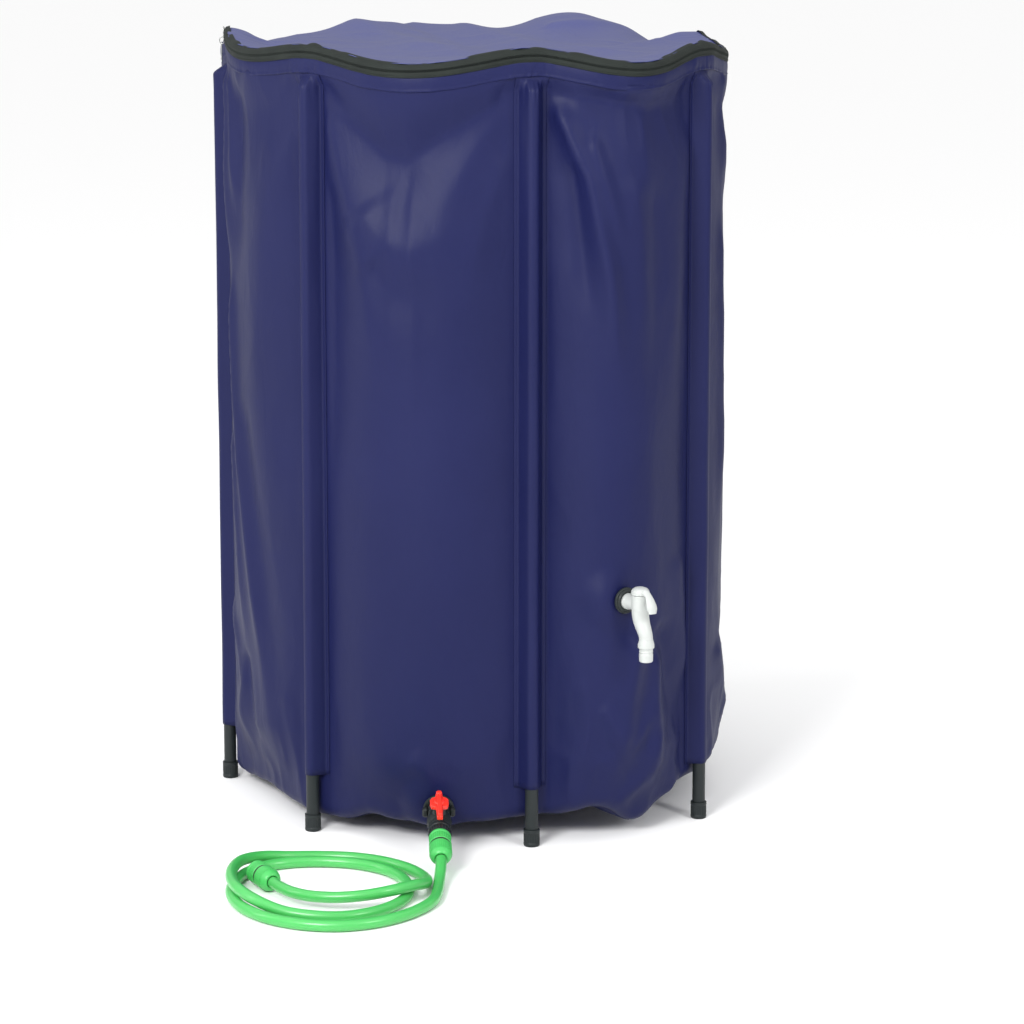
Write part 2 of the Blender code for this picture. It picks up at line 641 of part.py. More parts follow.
def make_drain(tank):
    """Bulkhead fitting, ball valve and hose adaptor, threaded on one sloping axis."""
    fixed = add_empty("drain_frame", tank)
    fixed.matrix_basis = DRAIN_FRAME
    add_object("drain_gasket", tube(0.0215, DRAIN_SHANK + GAP, GAP, 0.0023), "seal_rubber", fixed)
    bore = 0.0095
    flange = [(DRAIN_SHANK, -0.026), (DRAIN_SHANK, 0.0026), (DRAIN_FLANGE, 0.0026),
              (DRAIN_FLANGE, 0.0058), (DRAIN_FLANGE - 0.0012, 0.0070), (0.0128, 0.0070),
              (0.0128, 0.0200), (bore, 0.0200), (bore, -0.026)]
    add_object("drain_flange", lathe(flange), "black_plastic", fixed)
    nut = hexagon_nut(0.0225, DRAIN_SHANK + GAP, -CLOTH - 0.0093, -CLOTH - 0.0008)
    add_object("drain_lock_nut", nut, "black_plastic", fixed)

    profile = [(BODY_NECK, BODY_START), (BODY_NECK, 0.020), (BODY_NECK - 0.0015, 0.023)]
    for k in range(7):
        swell = (BODY_RADIUS - BODY_NECK) * math.sin(math.pi * k / 6)
        profile.append((BODY_NECK + swell, BALL_AT + BODY_BULGE * (k / 3 - 1)))
    profile += [(BODY_NECK, BODY_END), (CHAMBER, BODY_END), (CHAMBER, 0.0285),
                (bore, 0.0270), (bore, 0.0215), (0.0131, 0.0205), (0.0131, BODY_START)]
    body = add_object("valve_body", lathe(profile), "black_plastic", fixed)
    upright = Matrix.Translation(Vector((0, 0, BALL_AT))) @ Matrix.Rotation(-math.pi / 2, 4, "X")
    combine(body, rod(0.0095, 0.0150, HANDLE_BASE - 0.0010), "UNION", upright)
    combine(body, rod(STEM_RADIUS + 0.0002, 0.005, 0.040), place=upright)
    add_object("valve_seat_inner", tube(0.0131, 0.0072, 0.0290, 0.0319), "seat_white", fixed)
    add_object("valve_seat_outer", tube(0.0131, 0.0072, 0.0521, 0.0550), "seat_white", fixed)
    end = [(0.0132, 0.0556), (0.0132, END_START), (0.0168, END_START), (0.0168, 0.0720),
           (0.0158, 0.0730), (0.0158, END_END), (0.0080, END_END), (0.0080, NIPPLE_END),
           (0.0058, NIPPLE_END), (0.0058, 0.0556)]
    add_object("valve_outlet", lathe(end), "black_plastic", fixed)

    stem_axis = add_empty("valve_stem_axis", fixed)
    stem_axis.matrix_basis = upright
    ball = bmesh.new()
    bmesh.ops.create_uvsphere(ball, u_segments=ROUND, v_segments=12, radius=BALL_RADIUS - 0.0004)
    ball = add_object("valve_ball", ball, "seat_white", stem_axis)
    along = Matrix.Rotation(math.pi / 2, 4, "X")
    combine(ball, rod(0.0070, -0.02, 0.02), place=along)
    combine(ball, block((-0.0014, -0.02, 0.0098), (0.0014, 0.02, 0.02)))
    stem = rod(STEM_RADIUS, 0.0130, 0.0330, SMALL_ROUND)
    stem = add_object("valve_stem", stem, "seat_white", stem_axis)
    combine(stem, block((-0.0011, -0.0030, 0.0101), (0.0011, 0.0030, 0.0140)), "UNION")
    make_valve_handle(stem_axis)


def make_valve_handle(stem_axis):
    """Red handle: a round hub with two wings and a long finger that points along the flow."""
    low, high = HANDLE_BASE, HANDLE_BASE + 0.0075
    handle = add_object("valve_handle", rod(0.0125, low, high), "red_plastic", stem_axis)
    combine(handle, rod(0.0062, low + 0.0015, high + 0.0030), "UNION")
    combine(handle, block((-0.0155, -0.0075, low + 0.0010), (0.0155, 0.0075, high - 0.0005)), "UNION")
    combine(handle, block((-0.0032, -0.040, low + 0.0020), (0.0032, 0.020, high + 0.0045)), "UNION")
    combine(handle, rod(0.0048, low + 0.0015, high + 0.0075, SMALL_ROUND), "UNION",
            Matrix.Translation((0, 0.0185, 0)))
    combine(handle, rod(STEM_RADIUS + 0.0002, low - 0.001, 0.0333, SMALL_ROUND))
    combine(handle, rod(0.0030, 0.0320, high + 0.0100, SMALL_ROUND))
    screw = lathe([(0, 0.0333), (0.0016, 0.0333), (0.0016, 0.0360), (0.0027, 0.0360),
                   (0.0027, 0.0385), (0, 0.0385)], SMALL_ROUND, closed=False)
    add_object("valve_handle_screw", screw, "screw_steel", stem_axis)


# ---- tap ----------------------------------------------------------------------------------
def make_tap(tank):
    """White draw-off tap with a black clamp ring on the wall and a quarter-turn handle."""
    fixed = add_empty("tap_frame", tank)
    fixed.matrix_basis = TAP_FRAME
    add_object("tap_gasket", tube(0.0165, TAP_SHANK + GAP, GAP, 0.0020), "seal_rubber", fixed)
    ring = [(0.0200, 0.0023), (0.0200, 0.0075), (0.0185, 0.0090), (0.0150, 0.0100),
            (0.0127, 0.0100), (0.0127, 0.0060), (TAP_SHANK + GAP, 0.0060),
            (TAP_SHANK + GAP, 0.0023)]
    add_object("tap_clamp_ring", lathe(ring), "black_plastic", fixed)
    nut = hexagon_nut(0.0165, TAP_SHANK + GAP, -CLOTH - 0.0085, -CLOTH - 0.0008)
    add_object("tap_lock_nut", nut, "black_plastic", fixed)
    inlet = [(0, -0.022), (TAP_SHANK, -0.022), (TAP_SHANK, 0.0063), (0.0124, 0.0063),
             (0.0124, 0.0150), (0.0095, 0.0170), (0.0095, TAP_REACH), (0, TAP_REACH)]
    body = add_object("tap_body", lathe(inlet, closed=False), "white_plastic", fixed)
    upright = Matrix.Translation((0, 0, TAP_REACH)) @ Matrix.Rotation(-math.pi / 2, 4, "X")
    barrel = lathe([(0, -0.0240), (0.0110, -0.0240), (BARREL_RADIUS, -0.0200),
                    (BARREL_RADIUS, 0.0150), (0, 0.0150)], closed=False)
    combine(body, barrel, "UNION", upright)
    lean = Matrix.Rotation(math.radians(65), 4, "X")
    tilt = Matrix.Translation((0, -0.012, TAP_REACH - 0.002)) @ lean
    combine(body, rod(0.0105, 0.0, 0.0420), "UNION", tilt)
    spout_end = tilt @ Vector((0, 0, 0.0400))
    down = Matrix.Translation(spout_end) @ Matrix.Rotation(math.pi / 2, 4, "X")
    nozzle = [(0, -0.0060), (0.0118, -0.0060), (0.0125, 0.0060), (0.0125, 0.0120),
              (0.0095, 0.0135), (0.0095, 0.0180), (0.0103, 0.0200), (0.0085, 0.0240),
              (0.0100, 0.0260), (0.0085, 0.0350), (0, 0.0350)]
    combine(body, lathe(nozzle, closed=False), "UNION", down)
    combine(body, rod(0.0056, -0.030, TAP_REACH))
    combine(body, rod(PLUG_RADIUS + 0.0002, -0.0150, 0.0300), place=upright)
    combine(body, rod(0.0055, -0.001, 0.0400), place=tilt)
    combine(body, rod(0.0050, -0.0021, 0.0500), place=down)

    turning = add_empty("tap_plug_axis", fixed)
    turning.matrix_basis = upright
    plug = add_object("tap_plug", rod(PLUG_RADIUS, -0.0147, 0.0200), "seat_white", turning)
    combine(plug, rod(0.0050, -0.02, 0.02), place=Matrix.Rotation(math.pi / 2, 4, "X"))
    socket = PLUG_RADIUS + 0.0002
    cap = [(0, 0.0203), (socket, 0.0203), (socket, 0.0155), (0.0134, 0.0155), (0.0140, 0.0185),
           (0.0128, 0.0230), (0.0085, 0.0262), (0, 0.0270)]
    handle = add_object("tap_handle", lathe(cap, closed=False), "white_plastic", turning)
    lever = bmesh.new()
    bmesh.ops.create_uvsphere(lever, u_segments=SMALL_ROUND, v_segments=8, radius=1.0)
    bmesh.ops.scale(lever, vec=(0.0100, 0.0190, 0.0052), verts=lever.verts)
    combine(handle, lever, "UNION", Matrix.Translation((0, -0.0280, 0.0212)))


# ---- hose ---------------------------------------------------------------------------------
def smooth_route(points, count):
    """Even points on a smooth curve through the route."""
    controls = [Vector(p) for p in points]
    controls = [controls[0] * 2 - controls[1]] + controls + [controls[-1] * 2 - controls[-2]]
    dense = []
    for k in range(1, len(controls) - 2):
        a, b, c, d = controls[k - 1:k + 3]
        for step in range(12):
            t = step / 12
            dense.append(0.5 * (2 * b + (c - a) * t + (2 * a - 5 * b + 4 * c - d) * t ** 2
                                + (3 * b - a - 3 * c + d) * t ** 3))
    dense.append(controls[-2])
    runs = [0.0]
    for a, b in zip(dense, dense[1:]):
        runs.append(runs[-1] + (b - a).length)
    even, k = [], 0
    for step in range(count):
        target = runs[-1] * step / (count - 1)
        while k < len(runs) - 2 and runs[k + 1] < target:
            k += 1
        even.append(dense[k].lerp(dense[k + 1], (target - runs[k]) / (runs[k + 1] - runs[k])))
    return even


def make_hose(tank):
    """The hose as one tube along its route, with a click-fit connector on each end."""
    curve = bpy.data.curves.new("hose", "CURVE")
    curve.dimensions = "3D"
    curve.bevel_depth = HOSE_RADIUS
    curve.bevel_resolution = 2
    curve.use_fill_caps = True
    route = smooth_route(HOSE_ROUTE, HOSE_POINTS)
    spline = curve.splines.new("POLY")
    spline.points.add(len(route) - 1)
    for spot, point in zip(spline.points, route):
        spot.co = (*point, 1.0)
    hose = bpy.data.objects.new("hose", curve)
    bpy.context.scene.collection.objects.link(hose)
    curve.materials.append(finish("green_hose"))
    hose.parent = tank
    near = DRAIN_FRAME @ Matrix.Translation((0, 0, END_END + GAP))
    add_connector("1", tank, near, NIPPLE_END - END_END + 0.002)
    tip = Vector(HOSE_ROUTE[-1])
    outer_end = tip + FAR_CONNECTOR_DIRECTION * (CONNECTOR_LENGTH + GAP)
    add_connector("2", tank, frame_along(outer_end, -FAR_CONNECTOR_DIRECTION, (0, 0, 1)), 0.022)


def add_connector(number, tank, place, depth):
    """Click-fit hose connector: release collar over the socket, then the clamping nut."""
    split = CONNECTOR_LENGTH * 0.47
    socket = 0.0083
    r = CONNECTOR_RADIUS
    collar = [(r - 0.0012, 0), (r, 0.0012), (r - 0.0006, 0.012), (r, split - 0.0035),
              (r - 0.0015, split - 0.0022), (0.0135, split - 0.0022), (0.0135, split + 0.006),
              (0.0050, split + 0.006), (0.0050, depth), (socket, depth), (socket, 0)]
    add_object(f"connector_{number}_collar", lathe(collar), "green_plastic", tank, place)
    end = CONNECTOR_LENGTH
    nut = [(r - 0.0010, split), (r, split + 0.0012), (r - 0.0004, split + 0.012),
           (r - 0.0030, end - 0.004), (r - 0.0055, end - GAP), (0.0050, end - GAP),
           (0.0050, split + 0.0063), (0.0138, split + 0.0063), (0.0138, split)]
    add_object(f"connector_{number}_nut", lathe(nut), "green_plastic", tank, place)


def main():
    tank = add_empty("tank_frame", None, TANK_SHIFT)
    for index in range(8):
        make_leg(index, tank)
    make_bag(tank)
    make_zip_and_lid(tank)
    make_zip_slider(tank)
    make_drain(tank)
    make_tap(tank)
    make_hose(tank)
    bpy.context.view_layer.update()


main()
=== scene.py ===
# %% [markdown]
# # A collapsible water tank: soft coated cloth on eight upright pipes
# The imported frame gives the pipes, the fittings and the joints, all in metres and in one frame.
# This notebook dresses that frame: it builds the cloth, the hose and the fine surfaces of the
# fittings, and gives every piece a procedural finish. Nothing on the frame is moved or resized.

# %% Load the frame
import json
import math

import bmesh
import bpy
import numpy as np
from mathutils import Matrix, Vector


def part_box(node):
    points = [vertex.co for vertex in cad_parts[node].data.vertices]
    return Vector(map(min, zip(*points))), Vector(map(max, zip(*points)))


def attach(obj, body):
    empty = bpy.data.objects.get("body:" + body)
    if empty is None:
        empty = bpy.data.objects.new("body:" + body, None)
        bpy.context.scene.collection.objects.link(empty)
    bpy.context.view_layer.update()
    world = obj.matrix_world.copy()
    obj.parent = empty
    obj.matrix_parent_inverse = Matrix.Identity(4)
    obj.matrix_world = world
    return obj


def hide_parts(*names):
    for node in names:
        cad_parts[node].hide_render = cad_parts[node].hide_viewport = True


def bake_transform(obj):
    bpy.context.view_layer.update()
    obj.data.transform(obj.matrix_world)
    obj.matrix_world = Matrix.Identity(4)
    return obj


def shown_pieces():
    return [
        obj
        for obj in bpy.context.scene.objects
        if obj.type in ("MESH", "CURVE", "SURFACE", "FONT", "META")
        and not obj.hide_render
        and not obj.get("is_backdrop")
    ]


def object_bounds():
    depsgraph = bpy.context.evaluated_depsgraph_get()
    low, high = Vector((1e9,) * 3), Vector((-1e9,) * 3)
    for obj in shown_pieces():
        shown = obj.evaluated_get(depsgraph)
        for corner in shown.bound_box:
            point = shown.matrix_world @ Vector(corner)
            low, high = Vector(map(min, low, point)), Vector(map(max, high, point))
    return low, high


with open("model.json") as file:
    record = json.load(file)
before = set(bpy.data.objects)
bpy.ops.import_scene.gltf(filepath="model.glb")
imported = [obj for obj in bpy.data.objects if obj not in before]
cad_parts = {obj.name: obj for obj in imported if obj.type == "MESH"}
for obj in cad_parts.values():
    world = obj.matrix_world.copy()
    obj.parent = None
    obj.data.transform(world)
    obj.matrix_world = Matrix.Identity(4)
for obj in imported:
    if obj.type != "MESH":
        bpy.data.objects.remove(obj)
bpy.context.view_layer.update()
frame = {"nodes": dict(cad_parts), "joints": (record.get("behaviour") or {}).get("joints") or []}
JOINTS = {joint["name"]: joint for joint in frame["joints"]}

# %% [markdown]
# ## Camera
# The tank is seen from the front, from a standing eye a little over its lid, through a long lens
# that keeps the pipes nearly parallel. A small downward shift of the lens frames the hose too.
# The camera comes first because the hose is measured against what it sees.

# %% Camera
EYE = (0.0055, -5.1143, 1.5133)
TILT_DOWN, TURN_RIGHT = math.radians(9.05), math.radians(0.71)
FOCAL_MM, LENS_SHIFT = 113.8, -0.15

lens = bpy.data.cameras.new("camera")
lens.lens = FOCAL_MM
lens.shift_y = LENS_SHIFT
camera = bpy.data.objects.new("camera", lens)
bpy.context.scene.collection.objects.link(camera)
camera.location = EYE
camera.rotation_euler = (math.pi / 2 - TILT_DOWN, 0, -TURN_RIGHT)
bpy.context.scene.camera = camera
print("camera at", EYE, "lens", FOCAL_MM)

# %% [markdown]
# ## Node trees written as expressions
# Materials and Geometry Nodes are both node trees. A `Flow` wraps one socket and overloads the
# arithmetic operators, so `1 - mask * 0.5` adds the Math nodes by itself. A `Bench` wraps a tree and
# adds any other node with one method: first its settings, then the values or links of its sockets.


# %% Flow and Bench
class Flow:
    """One output socket, so that shader maths reads as Python."""

    def __init__(self, bench, socket):
        self.bench, self.socket = bench, socket

    def maths(self, operation, first, second=0.0):
        return self.bench.node("ShaderNodeMath", {"operation": operation}, {0: first, 1: second})

    def __add__(self, other):
        return self.maths("ADD", self, other)

    def __sub__(self, other):
        return self.maths("SUBTRACT", self, other)

    def __rsub__(self, other):
        return self.maths("SUBTRACT", other, self)

    def __mul__(self, other):
        return self.maths("MULTIPLY", self, other)

    def sine(self):
        return self.maths("SINE", self)

    __radd__, __rmul__ = __add__, __mul__


class Bench:
    """A node tree with one method that adds a node, sets it up and wires it."""

    def __init__(self, tree):
        self.tree = tree

    def node(self, kind, settings=None, inputs=None, output=0):
        made = self.tree.nodes.new(kind)
        for name, value in (settings or {}).items():
            if name == "stops":
                for place, (position, colour) in enumerate(value):
                    ramp = made.color_ramp.elements
                    stop = ramp[place] if place < len(ramp) else ramp.new(position)
                    stop.position, stop.color = position, colour
            else:
                setattr(made, name, value)
        for name, value in (inputs or {}).items():
            self.wire(value, made.inputs[name])
        return Flow(self, made.outputs[output])

    def bump(self, distance, height, normal=None, strength=1.0):
        """Relief from a height, over the relief that is there already."""
        inputs = {"Strength": strength, "Distance": distance, "Height": height}
        if normal is not None:
            inputs["Normal"] = normal
        return self.node("ShaderNodeBump", None, inputs)

    def split(self, vector):
        """The three parts of a vector."""
        made = self.node("ShaderNodeSeparateXYZ", None, {"Vector": vector})
        return [Flow(self, socket) for socket in made.socket.node.outputs]

    def wire(self, value, socket):
        if isinstance(value, Flow):
            self.tree.links.new(value.socket, socket)
        else:
            socket.default_value = value


print("node helpers ready")

# %% [markdown]
# ## Finishes
# Every finish starts from three things that change over a real surface: its colour, its roughness
# and its small relief. They come from noise on Object coordinates, so they stay put when a piece
# moves. What is the same all over, such as the strength of the sheen, is set on its own socket.


# %% One material from a few numbers
def new_finish(name, colour, other, roughness, relief, grain, patch=5.0, constants=None):
    """A mottled, slightly rough surface. relief is in metres, grain and patch are noise scales."""
    material = bpy.data.materials.new(name)
    material.use_nodes = True
    bench = Bench(material.node_tree)
    shader = material.node_tree.nodes["Principled BSDF"]
    for socket, value in (constants or {}).items():
        shader.inputs[socket].default_value = value
    place = bench.node("ShaderNodeTexCoord", output="Object")
    cloud = bench.node("ShaderNodeTexNoise", None,
                       {"Vector": place, "Scale": patch, "Detail": 4.0, "Roughness": 0.6})
    fine = bench.node("ShaderNodeTexNoise", None,
                      {"Vector": place, "Scale": grain, "Detail": 3.0, "Roughness": 0.6})
    tint = bench.node("ShaderNodeMix", {"data_type": "RGBA"},
                      {"Factor": cloud * 1.6 - 0.3, "A": (*colour, 1), "B": (*other, 1)}, "Result")
    bench.wire(tint, shader.inputs["Base Color"])
    bench.wire(cloud * 0.16 + fine * 0.08 + (roughness - 0.12), shader.inputs["Roughness"])
    bump = bench.bump(relief, fine)
    bench.wire(bump, shader.inputs["Normal"])
    return material, bench, shader, bump


DULL = {"Specular IOR Level": 0.25}
PLASTICS = {
    "dark_pipe": ((0.012, 0.016, 0.017), (0.021, 0.026, 0.027), 0.46, 0.00010, 260, 5, DULL),
    "black_plastic": ((0.010, 0.013, 0.013), (0.022, 0.027, 0.028), 0.42, 0.00012, 300, 5, DULL),
    "red_plastic": ((0.760, 0.022, 0.012), (0.860, 0.045, 0.026), 0.34, 0.00006, 220),
    "white_plastic": ((0.430, 0.450, 0.435), (0.490, 0.510, 0.495), 0.36, 0.00006, 200),
    "green_plastic": ((0.045, 0.400, 0.085), (0.070, 0.500, 0.110), 0.40, 0.00010, 260),
    "seal_rubber": ((0.012, 0.012, 0.012), (0.022, 0.022, 0.021), 0.78, 0.00015, 400),
    "seat_white": ((0.700, 0.700, 0.670), (0.780, 0.780, 0.760), 0.45, 0.00005, 200),
}
FINISHES = {}
for name, numbers in PLASTICS.items():
    FINISHES[name] = new_finish(name, *numbers)[0]
METALS = {"zip_metal": (0.50, 0.51, 0.50), "screw_steel": (0.58, 0.58, 0.57)}
for name, colour in METALS.items():
    worn = tuple(0.6 * part for part in colour)
    FINISHES[name] = new_finish(name, colour, worn, 0.32, 0.00004, 900, 60, {"Metallic": 1.0})[0]
print("moulded and metal finishes", len(FINISHES))

# %% [markdown]
# ### Coated cloth
# The bag is a polyester net between two skins of soft PVC. Close up the net shows as a faint grid
# about a millimetre and a half apart, so its relief follows the cloth's own UV map, which is laid
# out in metres. Wider, weaker noise gives the small dents of handled tarpaulin.

# %% Coated cloth
NET_PITCH, NET_RELIEF, NET_STRENGTH = 0.0016, 0.00005, 0.35
CRUMPLE = {"Scale": 22.0, "Detail": 5.0, "Roughness": 0.55, "Distortion": 0.6}


def coated_cloth(name, colour, other, roughness, dents, constants):
    """PVC-coated cloth with a net under its skin. dents is the depth of its small wrinkles."""
    material, bench, shader, bump = new_finish(name, colour, other, roughness, 0.00005, 700, 3.2,
                                               constants)
    along, up, _ = bench.split(bench.node("ShaderNodeUVMap"))
    turns = 2 * math.pi / NET_PITCH
    net = (along * turns).sine() + (up * turns).sine()
    woven = bench.bump(NET_RELIEF, net, bump, NET_STRENGTH)
    place = bench.node("ShaderNodeTexCoord", output="Object")
    stretched = bench.node("ShaderNodeMapping", None, {"Vector": place, "Scale": (1, 1, 0.45)})
    crumple = bench.node("ShaderNodeTexNoise", None, {"Vector": stretched, **CRUMPLE})
    bench.wire(bench.bump(dents, crumple, woven), shader.inputs["Normal"])
    return material


SKIN = {"Specular IOR Level": 0.17}
FINISHES["blue_pvc"] = coated_cloth("blue_pvc", (0.0058, 0.0080, 0.049), (0.0085, 0.0110, 0.061),
                                    0.49, 0.0012, SKIN)
# Same PVC as the wall, but its base colour is painted several times lighter: painted sheen that stands in
# for the bright sky the lid mirrors at a grazing angle.
FINISHES["blue_lid"] = coated_cloth("blue_lid", (0.032, 0.040, 0.155), (0.042, 0.051, 0.180),
                                    0.46, 0.0016, {"Specular IOR Level": 0.5})
print("cloth finishes ready, net pitch", NET_PITCH)

# %% [markdown]
# ### Woven zip tape, grey end tape and hose
# Zip tape is a tight twill, so two crossed sines on Object coordinates give it ribs. The hose is
# clear-skinned soft PVC over a bright green core: a thin smooth coat over a soft body shows that.

# %% Tape and hose
TWILL = 4200                  # radians per metre across the ribs
for name, colour, other in (("zip_fabric", (0.007, 0.010, 0.009), (0.016, 0.021, 0.018)),
                            ("grey_tape", (0.30, 0.31, 0.31), (0.36, 0.37, 0.37))):
    made, bench, shader, bump = new_finish(name, colour, other, 0.72, 0.0001, 500, 30, DULL)
    place = bench.node("ShaderNodeTexCoord", output="Object")
    across, depth, rise = bench.split(place)
    side = across + depth
    twill = ((side + rise) * TWILL).sine() + ((side - rise) * TWILL).sine()
    bench.wire(bench.bump(0.00012, twill, bump, 0.6), shader.inputs["Normal"])
    FINISHES[name] = made
HOSE_SKIN = {"Coat Weight": 0.35, "Coat Roughness": 0.18, "Subsurface Weight": 0.25,
             "Subsurface Radius": (0.004, 0.010, 0.004), "Subsurface Scale": 0.5}
FINISHES["green_hose"] = new_finish("green_hose", (0.045, 0.400, 0.075), (0.070, 0.450, 0.105),
                                    0.38, 0.00008, 180, 9, HOSE_SKIN)[0]
for node in frame["nodes"].values():
    node.data.materials.clear()
for body, part in (("seat_white", ("valve_seat_inner", "valve_seat_outer", "valve_ball", "valve_stem",
                                   "tap_plug")),
                   ("black_plastic", ("drain_lock_nut", "tap_lock_nut"))):
    for name in part:
        frame["nodes"][name].data.materials.append(FINISHES[body])
print("finishes in all", len(FINISHES))

# %% [markdown]
# ## Meshes from grids
# Most soft pieces here are grids of points: columns go round the tank and rows go up. One function
# turns such a grid into a piece with a UV map in metres. A wrapped grid closes on itself.


# %% Grid and finishing helpers
def link(name, mesh, finish, sharp=40):
    """Link a mesh as a piece with its finish, which is also the name of its material slot."""
    mesh.shade_smooth()
    mesh.set_sharp_from_angle(angle=math.radians(sharp))
    mesh.materials.append(FINISHES[finish])
    piece = bpy.data.objects.new(name, mesh)
    bpy.context.scene.collection.objects.link(piece)
    return piece


def mount(piece, body, *nodes):
    """Let a piece ride on a body and stand for CAD nodes."""
    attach(piece, body)
    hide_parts(*nodes)
    return piece


def placed(side, up, out, origin):
    """A place from its three directions and its origin."""
    return Matrix.Translation(origin) @ Matrix((side, up, out)).transposed().to_4x4()


def run_lengths(points):
    """Distance along a row of points, from its first."""
    steps = np.linalg.norm(np.diff(points, axis=0), axis=1)
    return np.concatenate([[0], np.cumsum(steps)])


def grid_mesh(name, points, wrap_columns=False, wrap_rows=False):
    """A mesh from points[row, column], with a UV map in metres."""
    rows, columns = points.shape[:2]
    r, c = np.meshgrid(np.arange(rows - (not wrap_rows)), np.arange(columns - (not wrap_columns)),
                       indexing="ij")
    r, c = r.ravel(), c.ravel()
    corners = ((r, c), (r, c + 1), (r + 1, c + 1), (r + 1, c))
    faces = np.stack([(a % rows) * columns + b % columns for a, b in corners], axis=1)
    mesh = bpy.data.meshes.new(name)
    mesh.from_pydata(points.reshape(-1, 3).tolist(), [], faces.tolist())
    middle = points[rows // 2]
    across = run_lengths(np.vstack([middle, middle[:1]]))
    side = points[:, columns // 3]
    upward = run_lengths(np.vstack([side, side[:1]]))
    flat = np.stack([np.stack([across[b], upward[a]], axis=1) for a, b in corners], axis=1)
    layer = mesh.uv_layers.new(name="cut")
    layer.data.foreach_set("uv", flat.astype(np.float32).ravel())
    return mesh


MERGE = 0.00001


def face_outwards(mesh):
    """Close seams and poles, then turn every face out."""
    shape = bmesh.new()
    shape.from_mesh(mesh)
    bmesh.ops.remove_doubles(shape, verts=shape.verts, dist=MERGE)
    bmesh.ops.dissolve_degenerate(shape, edges=shape.edges, dist=MERGE)
    bmesh.ops.recalc_face_normals(shape, faces=shape.faces)
    shape.to_mesh(mesh)
    shape.free()


def settle(piece):
    """Turn a piece's modifiers into its own mesh."""
    shown = piece.evaluated_get(bpy.context.evaluated_depsgraph_get())
    mesh = bpy.data.meshes.new_from_object(shown)
    piece.modifiers.clear()
    piece.data = mesh
    return piece


def thicken(piece, thickness):
    """Give a sheet its thickness, inwards."""
    solid = piece.modifiers.new("cloth", "SOLIDIFY")
    solid.thickness = thickness
    solid.offset = -1
    return settle(piece)


def smooth_step(value):
    """0 below 0, 1 above 1, and a soft rise between."""
    value = np.clip(value, 0, 1)
    return value * value * (3 - 2 * value)


def soften(profile, radius, steps=3):
    """Round the corners of an open profile of (radius, height) points."""
    points = [Vector(p) for p in profile]
    rounded = [points[0]]
    for before, corner, after in zip(points, points[1:], points[2:]):
        reach = min(radius, (before - corner).length * 0.45, (after - corner).length * 0.45)
        start = corner + (before - corner).normalized() * reach
        end = corner + (after - corner).normalized() * reach
        for k in range(steps + 1):
            t = k / steps
            rounded.append(start * (1 - t) ** 2 + corner * 2 * t * (1 - t) + end * t * t)
    rounded.append(points[-1])
    return [tuple(p) for p in rounded]


def turned_mesh(name, profile, place=Matrix(), sides=56):
    """Turn a profile of (radius, height) round Z. Both ends on the axis close it."""
    profile = np.array(profile)
    angles = np.linspace(0, 2 * math.pi, sides, endpoint=False)
    points = np.stack([profile[:, :1] * np.cos(angles), profile[:, :1] * np.sin(angles),
                       np.repeat(profile[:, 1:], sides, axis=1)], axis=2)
    hollow = profile[0, 0] > 1e-6
    mesh = grid_mesh(name, points, True, hollow)
    face_outwards(mesh)
    mesh.transform(place)
    return mesh


def turned(name, profile, finish, body, nodes=(), place=Matrix(), sides=56, round_off=0.0006):
    """A turned piece that rides on a body and stands for CAD nodes."""
    piece = link(name, turned_mesh(name, soften(profile, round_off), place, sides), finish)
    return mount(piece, body, *nodes)


def joined(name, meshes, finish):
    """One piece from several closed shells, welded by a union."""
    base = link(name, meshes[0], finish)
    for shell in meshes[1:]:
        tool = bpy.data.objects.new("tool", shell)
        bpy.context.scene.collection.objects.link(tool)
        union = base.modifiers.new("weld", "BOOLEAN")
        union.operation = "UNION"
        union.object = tool
        settle(base)
        bpy.data.objects.remove(tool)
    while len(base.data.materials) > 1:
        base.data.materials.pop()
    base.data.shade_smooth()
    base.data.set_sharp_from_angle(angle=math.radians(35))
    return base


def add_line(curve, points, closed=False):
    """Add a straight-sided line through points to a curve."""
    line = curve.splines.new("POLY")
    line.points.add(len(points) - 1)
    line.use_cyclic_u = closed
    for spot, point in zip(line.points, points):
        spot.co = (*point, 1)
    return line


print("mesh helpers ready")

# %% [markdown]
# ## The hose
# A green garden hose of 16.6 mm runs out of the drain's connector, drops to the ground, makes two
# loose turns to the left of the tank and ends in a second connector that lies on the turns. Its
# route is a short list of points, smoothed into one curve, and the curve's bevel makes the tube.

